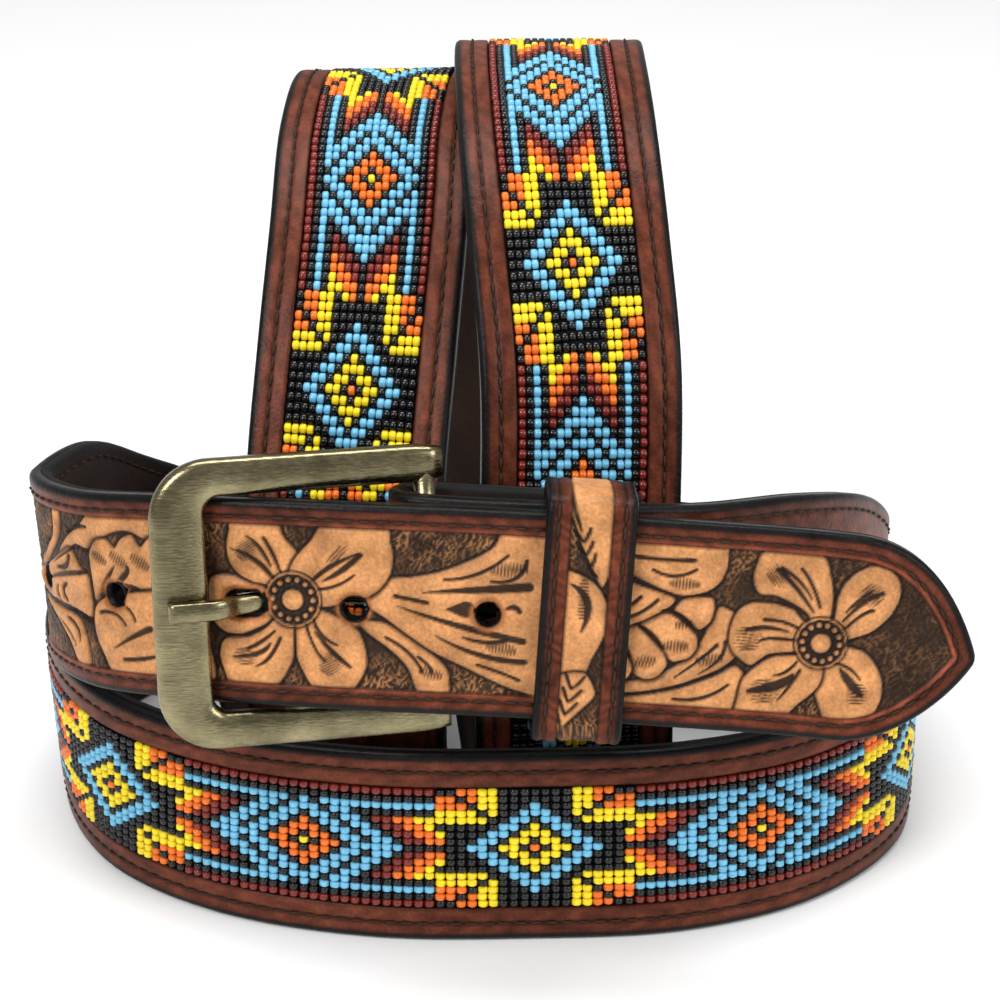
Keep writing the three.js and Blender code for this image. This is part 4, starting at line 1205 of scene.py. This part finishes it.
# Buckle
def buckle_frame():
    """Origin and axes of the buckle: x from its left bar to its bar, y up and z outward."""
    _, _, up, _ = frames_at(PRONG_ALONG)
    place, _, _, outward = frames_at(PRONG_ALONG + LEFT_BAR_SEAT)
    lift = FACE_OUTER + SEAT_GAP + LEFT_BAR_LIFT + BUCKLE_THICKNESS / 2
    aim = bar_place - (place + outward * lift)
    aim = unit(aim - up * aim.dot(up))
    level = frames_at(PRONG_ALONG - HOLE_SPACING / 2)[0] - bar_place
    return bar_place + up * level.dot(up), np.stack([aim, up, np.cross(aim, up)])


BUCKLE_ORIGIN, BUCKLE_AXES = buckle_frame()


def from_buckle(points):
    return BUCKLE_ORIGIN + np.asarray(points, float) @ BUCKLE_AXES


def rounded_section(width, thickness, count, power=0.55):
    """Points of a rounded bar's section: across and out."""
    turn = np.linspace(0, 2 * math.pi, count, endpoint=False)
    across = np.sign(np.cos(turn)) * np.abs(np.cos(turn)) ** power * width / 2
    out = np.sign(np.sin(turn)) * np.abs(np.sin(turn)) ** power * thickness / 2
    return across, out


def build_buckle():
    high = HALF_WIDTH + ARM_GAP + ARM_WIDTH
    left = ARM_OVERRUN - BUCKLE_LENGTH
    inner_left = left + LEFT_BAR_WIDTH
    inner_high = high - ARM_WIDTH
    straight, turn_steps, bar_steps = 18, 20, 26

    def half_line(edge_left, edge_high, corner):
        arm = np.linspace(ARM_OVERRUN, edge_left + corner, straight, endpoint=False)
        turn = np.linspace(math.pi / 2, math.pi, turn_steps, endpoint=False)
        bar = np.linspace(edge_high - corner, 0, bar_steps)
        return np.vstack([
            np.stack([arm, np.full(straight, edge_high)], 1),
            np.stack([edge_left + corner + corner * np.cos(turn),
                      edge_high - corner + corner * np.sin(turn)], 1),
            np.stack([np.full(bar_steps, edge_left), bar], 1),
        ])

    def whole(line):
        return np.vstack([line, line[-2::-1] * np.array([1, -1])])

    outer = whole(half_line(left, high, BUCKLE_CORNER))
    inner = whole(half_line(inner_left, inner_high, INNER_CORNER))
    across, out = rounded_section(2.0, BUCKLE_THICKNESS, 26, 0.62)
    share = (across[None, :, None] + 1) / 2
    flat = outer[:, None] * share + inner[:, None] * (1 - share)
    rows = len(outer)
    edge_in = np.minimum(np.arange(rows), np.arange(rows)[::-1])
    swell = 0.80 + 0.20 * np.sin(np.clip(edge_in / 2.5, 0, 1) * math.pi / 2)
    depth = out[None] * swell[:, None]
    middle = (outer + inner)[:, None] / 2
    flat = middle + (flat - middle) * swell[:, None, None]
    points = np.concatenate([flat, depth[..., None]], -1).reshape(-1, 3)
    faces = [loop_faces(rows, len(across)), *cap_faces(rows, len(across))]
    sides = 24
    reach = inner_high + ARM_WIDTH / 2
    ring = np.linspace(0, 2 * math.pi, sides, endpoint=False)
    rod_rows = np.linspace(-reach, reach, 5)
    rod = np.array([(PIVOT_RADIUS * math.cos(t), y, PIVOT_RADIUS * math.sin(t))
                    for y in rod_rows for t in ring])
    rod_faces = [loop_faces(len(rod_rows), sides), *cap_faces(len(rod_rows), sides)]
    faces += [group[:, ::-1] + len(points) for group in rod_faces]
    return make_piece("buckle_bow", from_buckle(np.vstack([points, rod])), faces, None,
                      ["buckle_frame"])


def build_prong():
    """The prong: a ring on the bar, a shank through the hole and an end on the left bar."""
    inverse = BUCKLE_AXES.T
    half = PRONG_THICKNESS / 2
    ring = PIVOT_RADIUS + SEAT_GAP

    def local(along, out):
        place, _, _, outward = frames_at(along)
        return (place + outward * out - BUCKLE_ORIGIN) @ inverse

    seat = BUCKLE_THICKNESS / 2 + SEAT_GAP + half
    behind = local(PRONG_ALONG + PRONG_SLOT_SHIFT - 2.6, -1.0)
    front = local(PRONG_ALONG + PRONG_SLOT_SHIFT + 1.8, FACE_OUTER + 0.7)
    left = ARM_OVERRUN - BUCKLE_LENGTH
    spine = np.array([
        (0, ring + half),
        (behind[0] * 0.55, min(behind[2] - 1, ring + half)),
        (behind[0], behind[2]),
        (front[0], front[2]),
        (left + LEFT_BAR_WIDTH * 1.2, seat),
        (left + LEFT_BAR_WIDTH * 0.24, seat),
    ])
    count, sides = 90, 20
    key = np.r_[0, np.cumsum(np.linalg.norm(np.diff(spine, axis=0), axis=1))]
    at = np.linspace(0, key[-1], count)
    line = np.stack([np.interp(at, key, spine[:, k]) for k in range(2)], 1)
    blur = np.hanning(13) / np.hanning(13).sum()
    for k in range(2):
        line[6:-6, k] = np.convolve(line[:, k], blur, mode="valid")
    run = unit(np.gradient(line, axis=0))
    across, out = rounded_section(PRONG_WIDTH, PRONG_THICKNESS, sides, 0.5)
    to_end = key[-1] - at
    slim = np.sqrt(np.clip(1 - (1 - np.clip(to_end / 0.9, 0, 1)) ** 2, 0.12, 1))
    normal = np.stack([-run[:, 1], run[:, 0]], 1)
    normal = normal * np.sign(normal[:, 1])[:, None]
    x = line[:, 0, None] + normal[:, 0, None] * out[None] * slim[:, None]
    z = line[:, 1, None] + normal[:, 1, None] * out[None] * slim[:, None]
    y = np.broadcast_to(across[None] * (0.86 + 0.14 * slim[:, None]), x.shape)
    shank = np.stack([x, y, z], -1).reshape(-1, 3)
    faces = [group[:, ::-1] for group in (loop_faces(count, sides), *cap_faces(count, sides))]
    turn_count, eye_sides = 32, 16
    turn = np.linspace(0, 2 * math.pi, turn_count, endpoint=False)[:, None]
    across, out = rounded_section(PRONG_WIDTH, PRONG_THICKNESS * 0.8, eye_sides, 0.6)
    radius = (ring + PRONG_THICKNESS * 0.4 + out)[None]
    eye = np.stack([np.cos(turn) * radius, np.broadcast_to(across[None], (turn_count, eye_sides)),
                    np.sin(turn) * radius], -1).reshape(-1, 3)
    faces.append(loop_faces(turn_count, eye_sides, True) + len(shank))
    return make_piece("prong", from_buckle(np.vstack([shank, eye])), faces,
                      None, ["buckle_prong"])


# Keeper: its forms and cuts, as places across it, to the right, and up
KEEPER_FORMS = [
    [(4.6, 17.5), (4.8, 24), (-3, 24), (-4.6, 20), (-4.4, 12), (-2.6, 6.6), (-1.2, 9.0),
     (1.4, 14.0), (3.4, 19.0)],
    [(4.4, 8.6), (2.0, 8.8), (-1.4, 7.0), (-3.6, 3.6), (-3.9, -0.6), (-2.8, -4.0),
     (-1.6, -6.6), (0.0, -10.4), (4.4, -10.6), (4.6, 0)],
    [(3.8, -10.2), (-0.6, -9.4), (-2.6, -12.4), (-2.2, -14.0), (0.6, -17.0), (4.4, -21.4),
     (5.0, -24), (4.6, -16)],
]
KEEPER_CUTS = [
    (3.6, 20.8, 2.6, 18.8, 1.8, 16.6, 0.30, 0.34, 0.16),
    (3.0, 16.6, 2.0, 15.4, 1.2, 14.6, 0.30, 0.34, 0.20),
    (0.2, 17.2, 0.6, 15.8, 1.2, 14.6, 0.30, 0.34, 0.20),
    (2.4, 14.2, 1.4, 13.0, 0.6, 12.2, 0.30, 0.34, 0.20),
    (-0.4, 14.8, 0.0, 13.6, 0.6, 12.2, 0.30, 0.34, 0.20),
    (1.6, 12.0, 0.6, 10.8, -0.4, 10.0, 0.30, 0.34, 0.20),
    (-1.0, 12.6, -0.8, 11.4, -0.4, 10.0, 0.30, 0.34, 0.20),
    (0.4, 9.6, -0.8, 9.0, -1.6, 8.4, 0.26, 0.30, 0.20),
    (3.0, 7.0, -0.2, 3.6, 0.6, -1.6, 0.14, 0.70, 0.16),
    (2.6, -9.6, 2.2, -10.8, 1.6, -12.2, 0.30, 0.34, 0.20),
    (-0.6, -10.0, 0.4, -11.2, 1.6, -12.2, 0.30, 0.34, 0.20),
    (3.0, -12.0, 2.6, -13.2, 2.0, -14.6, 0.30, 0.34, 0.20),
    (-0.2, -12.4, 0.8, -13.6, 2.0, -14.6, 0.30, 0.34, 0.20),
    (3.4, -14.4, 3.0, -15.6, 2.4, -17.0, 0.30, 0.34, 0.20),
    (0.4, -14.8, 1.4, -16.0, 2.4, -17.0, 0.30, 0.34, 0.20),
    (3.8, -16.8, 3.4, -18.0, 3.0, -19.2, 0.28, 0.32, 0.20),
]
KEEPER_RIBS = (0.6, 4.6, 0, 14, 2.0)
KEEPER_STRIP = 3.6
KEEPER_ROUND = 0.9
KEEPER_CORNER = 2.0
KEEPER_BEND = 0.45
KEEPER_STITCH_INSET = 2.1
KEEPER_STITCH_PITCH = 3.3


def keeper_outline(front, rear, high):
    """Places (out, up) round the inside of the keeper, and their outward directions."""
    straight = high - KEEPER_CORNER
    middle, depth = (front + rear) / 2, (front - rear) / 2
    outline, normals = [], []
    for side, wall, step, start in ((1, front, 0.3, 0), (-1, rear, 1.5, math.pi)):
        for level in even(-side * straight, side * straight, step):
            outline.append((wall, level))
            normals.append((side, 0))
        for turn in np.linspace(0, math.pi, 13)[1:-1] + start:
            c, s = math.cos(turn), math.sin(turn)
            outline.append((middle + depth * math.copysign(abs(c) ** KEEPER_BEND, c),
                            side * (straight + KEEPER_CORNER * abs(s) ** KEEPER_BEND)))
            normals.append((c, s))
    return np.array(outline), unit(np.array(normals, float))


def build_keeper():
    """The leather loop round both straps, with its tooled strip and stitched margins."""
    along_billet = FOLD_START - KEEPER_FROM_BAR
    billet_place = frames_at(along_billet)[0]
    near = even_along < TIP_BILLET_LENGTH / 2
    pick = even_along[near][np.argmin(np.abs(even_place[near][:, 0] - billet_place[0]))]
    place, heading, edge, outward = frames_at(pick)
    offset = billet_place - place
    shift = offset.dot(edge) / 2
    high = HALF_WIDTH + abs(shift) + SEAT_GAP + KEEPER_EASE
    front = FACE_OUTER + SEAT_GAP * 2
    rear = offset.dot(outward) - FACE_OUTER - SEAT_GAP - KEEPER_EASE
    centre = place + edge * shift
    panel = Panel(-KEEPER_WIDTH / 2, KEEPER_WIDTH / 2, -high - 4, high + 4)
    for outline in KEEPER_FORMS:
        draw_outline(panel, outline)
    for row in KEEPER_CUTS:
        draw_cut(panel, row)
    draw_ribs(panel, KEEPER_RIBS)
    outline, normals = keeper_outline(front, rear, high)
    half = KEEPER_WIDTH / 2
    rim = np.array([0.0, 0.12, 0.35, 0.7, 1.1, 1.6, 2.1, 2.5, 2.9])
    across = np.r_[-half + rim, even(-4.6, 4.6, 0.3), (half - rim)[::-1]]
    inside = half - np.abs(across)
    grid_across = np.broadcast_to(across[None], (len(outline), len(across)))
    grid_level = np.broadcast_to(outline[:, 1:], grid_across.shape)
    tone = panel.read(panel.tone, grid_across, grid_level)[..., None]
    relief = panel.read(panel.depth, grid_across, grid_level)
    past_strip = np.abs(grid_across) - KEEPER_STRIP
    zone = smoothstep(0.15, -0.15, past_strip)
    line = np.exp(-(past_strip / 0.25) ** 2)
    paint = margin_paint(np.broadcast_to(inside[None], grid_across.shape),
                         KEEPER_STITCH_INSET, grid_level * 3)
    paint = paint * (1 - zone[..., None]) + (DARK * (1 - tone) + TAN * tone) * zone[..., None]
    paint = paint * (1 - 0.8 * line[..., None])
    groove = groove_depth(inside, KEEPER_STITCH_INSET)
    height = KEEPER_THICKNESS - rim_drop(inside, KEEPER_ROUND)[None] - groove[None]
    height = height + relief * zone - 0.2 * line
    outer = outline[:, None] + normals[:, None] * height[..., None]
    back_columns = np.array([half, 0.0, -half])
    inner = np.repeat(outline[:, None], 3, 1)
    columns = len(across) + 3
    flat = np.concatenate([outer, inner], 1)
    side = np.concatenate([grid_across, np.broadcast_to(back_columns, (len(outline), 3))], 1)
    points = (centre + outward * flat[..., :1] + edge * flat[..., 1:2]
              + heading * side[..., None]).reshape(-1, 3)
    colour = np.concatenate([paint, np.tile(DARK, (len(outline), 3, 1))], 1).reshape(-1, 3)
    quads = loop_faces(len(outline), columns, True)
    loop = make_piece("keeper", points, [quads], colour, ["keeper_loop"])
    template, faces = stitch_template(2.7, 0.32)
    rows = np.arange(-high + 1.5, high - 0.5, KEEPER_STITCH_PITCH)
    centres, axes = [], []
    for side_place in (KEEPER_STITCH_INSET - half, half - KEEPER_STITCH_INSET):
        spot = centre + outward * (front + KEEPER_THICKNESS - 0.12) + heading * side_place
        centres.append(spot[None] + edge[None] * rows[:, None])
        axes.append(np.tile(np.stack([edge, -heading, outward]), (len(rows), 1, 1)))
    points, groups = copies(template, faces, np.vstack(centres), np.vstack(axes))
    thread = make_piece("stitches_keeper", points, groups, None, None)
    return loop, thread


# Materials
THREAD_BROWN = (0.036, 0.020, 0.012)
BRASS = (0.235, 0.205, 0.115)


def new_material(name):
    material = bpy.data.materials.new(name)
    material.use_nodes = True
    tree = material.node_tree
    shader = tree.nodes["Principled BSDF"]
    return material, tree, shader


def noise_node(tree, scale, detail, roughness=0.6):
    """A noise in the space of the piece."""
    place = tree.nodes.get("place") or tree.nodes.new("ShaderNodeTexCoord")
    place.name = "place"
    noise = tree.nodes.new("ShaderNodeTexNoise")
    noise.inputs["Scale"].default_value = scale
    noise.inputs["Detail"].default_value = detail
    noise.inputs["Roughness"].default_value = roughness
    tree.links.new(place.outputs["Object"], noise.inputs["Vector"])
    return noise


def bump_node(tree, shader, height, strength, distance, before=None):
    bump = tree.nodes.new("ShaderNodeBump")
    bump.inputs["Strength"].default_value = strength
    bump.inputs["Distance"].default_value = distance
    tree.links.new(height, bump.inputs["Height"])
    if before:
        tree.links.new(before.outputs["Normal"], bump.inputs["Normal"])
    tree.links.new(bump.outputs["Normal"], shader.inputs["Normal"])
    return bump


def range_node(tree, value, low, high):
    ramp = tree.nodes.new("ShaderNodeMapRange")
    ramp.inputs["To Min"].default_value = low
    ramp.inputs["To Max"].default_value = high
    tree.links.new(value, ramp.inputs["Value"])
    return ramp.outputs["Result"]


def mottle(tree, shader, colour, *noises):
    """Links a base colour, or else the painted one, multiplied by noises between grey values."""
    if colour:
        base = tree.nodes.new("ShaderNodeRGB")
        base.outputs[0].default_value = (*colour, 1)
    else:
        base = tree.nodes.new("ShaderNodeAttribute")
        base.attribute_name = "paint"
    source = base.outputs[0]
    for noise, low, high in noises:
        mix = tree.nodes.new("ShaderNodeMix")
        mix.data_type = "RGBA"
        mix.blend_type = "MULTIPLY"
        mix.inputs[0].default_value = 1.0
        tree.links.new(source, mix.inputs[6])
        tree.links.new(range_node(tree, noise.outputs["Fac"], low, high), mix.inputs[7])
        source = mix.outputs[2]
    tree.links.new(source, shader.inputs["Base Color"])


def polish(shader, roughness, specular):
    shader.inputs["Roughness"].default_value = roughness
    shader.inputs["Specular IOR Level"].default_value = specular


def leather_material():
    material, tree, shader = new_material("leather_painted")
    blotch = noise_node(tree, 160, 5)
    pores = noise_node(tree, 1500, 3)
    mottle(tree, shader, None, (blotch, 0.2, 1.8), (pores, 0.45, 1.55))
    gloss = range_node(tree, blotch.outputs["Fac"], 0.24, 0.46)
    tree.links.new(gloss, shader.inputs["Roughness"])
    shader.inputs["Specular IOR Level"].default_value = 0.12
    grain = bump_node(tree, shader, pores.outputs["Fac"], 0.35, 0.0003)
    wrinkle = noise_node(tree, 420, 4)
    bump_node(tree, shader, wrinkle.outputs["Fac"], 0.3, 0.0005, grain)
    return material


def lining_material():
    material, tree, shader = new_material("lining_suede")
    fibres = noise_node(tree, 900, 6, 0.7)
    mottle(tree, shader, None, (fibres, 0.6, 1.5), (noise_node(tree, 90, 4), 0.7, 1.3))
    polish(shader, 0.7, 0.2)
    bump_node(tree, shader, fibres.outputs["Fac"], 0.5, 0.0004)
    return material


def bead_material(word, colour):
    material, tree, shader = new_material("glass_" + word)
    mottle(tree, shader, colour, (noise_node(tree, 700, 1), 0.78, 1.22))
    polish(shader, 0.14, 0.45)
    return material


def backing_material():
    material, tree, shader = new_material("backing_cloth")
    weave = noise_node(tree, 1800, 2)
    shader.inputs["Base Color"].default_value = (0.006, 0.006, 0.007, 1)
    tree.links.new(range_node(tree, weave.outputs["Fac"], 0.6, 0.9), shader.inputs["Roughness"])
    bump_node(tree, shader, weave.outputs["Fac"], 0.5, 0.0003)
    return material


def thread_material():
    material, tree, shader = new_material("thread_brown")
    twist = noise_node(tree, 2600, 2)
    mottle(tree, shader, THREAD_BROWN, (twist, 0.5, 1.6))
    polish(shader, 0.55, 0.15)
    bump_node(tree, shader, twist.outputs["Fac"], 0.5, 0.0002)
    return material


def brass_material():
    """Old brass, brushed along the buckle's length."""
    material, tree, shader = new_material("brass_antique")
    blotch = noise_node(tree, 120, 5)
    stretch = tree.nodes.new("ShaderNodeMapping")
    stretch.inputs["Scale"].default_value = (60, 3000, 3000)
    tree.links.new(tree.nodes["place"].outputs["Object"], stretch.inputs["Vector"])
    brushed = noise_node(tree, 1.0, 3.0, 0.5)
    tree.links.new(stretch.outputs["Vector"], brushed.inputs["Vector"])
    mottle(tree, shader, BRASS, (blotch, 0.1, 1.9), (brushed, 0.5, 1.5))
    shader.inputs["Metallic"].default_value = 1.0
    gloss = range_node(tree, brushed.outputs["Fac"], 0.12, 0.38)
    tree.links.new(gloss, shader.inputs["Roughness"])
    bump_node(tree, shader, brushed.outputs["Fac"], 0.18, 0.0002)
    return material


# Stage
CAMERA_TARGET = np.array([0.0, 34.2, 73.4])
CAMERA_DISTANCE = 600.0
CAMERA_ELEVATION = 25.0
LENS = 113.4


def add_camera():
    turn = math.radians(CAMERA_ELEVATION)
    place = CAMERA_TARGET + CAMERA_DISTANCE * np.array([0, -math.cos(turn), math.sin(turn)])
    camera = bpy.data.objects.new("camera", bpy.data.cameras.new("camera"))
    camera.data.lens = LENS
    camera.data.sensor_width = 36
    camera.data.clip_start = 0.01
    camera.location = Vector(to_frame(place))
    aim = Vector(to_frame(CAMERA_TARGET)) - camera.location
    camera.rotation_euler = aim.to_track_quat("-Z", "Y").to_euler()
    bpy.context.scene.collection.objects.link(camera)
    bpy.context.scene.camera = camera


def add_light(name, place, aim, size, power):
    lamp = bpy.data.lights.new(name, "AREA")
    lamp.shape = "RECTANGLE"
    lamp.size, lamp.size_y = size
    lamp.energy = power
    holder = bpy.data.objects.new(name, lamp)
    holder.location = place
    way = Vector(aim) - Vector(place)
    holder.rotation_euler = way.to_track_quat("-Z", "Y").to_euler()
    bpy.context.scene.collection.objects.link(holder)


def add_stage():
    mesh = bpy.data.meshes.new("floor")
    reach = 4.0
    mesh.from_pydata([(-reach, -reach, 0), (reach, -reach, 0), (reach, reach, 0),
                      (-reach, reach, 0)], [], [(0, 1, 2, 3)])
    floor = bpy.data.objects.new("floor", mesh)
    material, _, shader = new_material("floor_pale")
    shader.inputs["Base Color"].default_value = (0.93, 0.93, 0.93, 1)
    shader.inputs["Roughness"].default_value = 0.75
    mesh.materials.append(material)
    bpy.context.scene.collection.objects.link(floor)
    world = bpy.data.worlds.new("studio")
    world.use_nodes = True
    world.node_tree.nodes["Background"].inputs["Color"].default_value = (1, 1, 1, 1)
    world.node_tree.nodes["Background"].inputs["Strength"].default_value = 0.40
    bpy.context.scene.world = world
    bpy.context.scene.view_settings.view_transform = "Standard"
    middle = (0, 0, 0.07)
    add_light("key_light", (-0.55, -0.75, 0.85), middle, (0.45, 0.45), 8.5)
    add_light("fill_light", (0.75, -0.55, 0.55), middle, (0.5, 0.5), 4)
    add_light("top_light", (0.0, 0.15, 1.0), middle, (0.7, 0.4), 6.8)


def finish_with(pieces, material):
    for piece in pieces:
        piece.data.materials.append(material)


add_camera()
add_stage()
keeper, keeper_thread = build_keeper()
leather_pieces = [*build_billets(), build_margins(), build_hole_rings(), keeper]
finish_with(leather_pieces, leather_material())
finish_with([build_lining()], lining_material())
finish_with([build_backing()], backing_material())
finish_with([*build_stitches(), keeper_thread], thread_material())
finish_with([build_buckle(), build_prong()], brass_material())
build_beads()
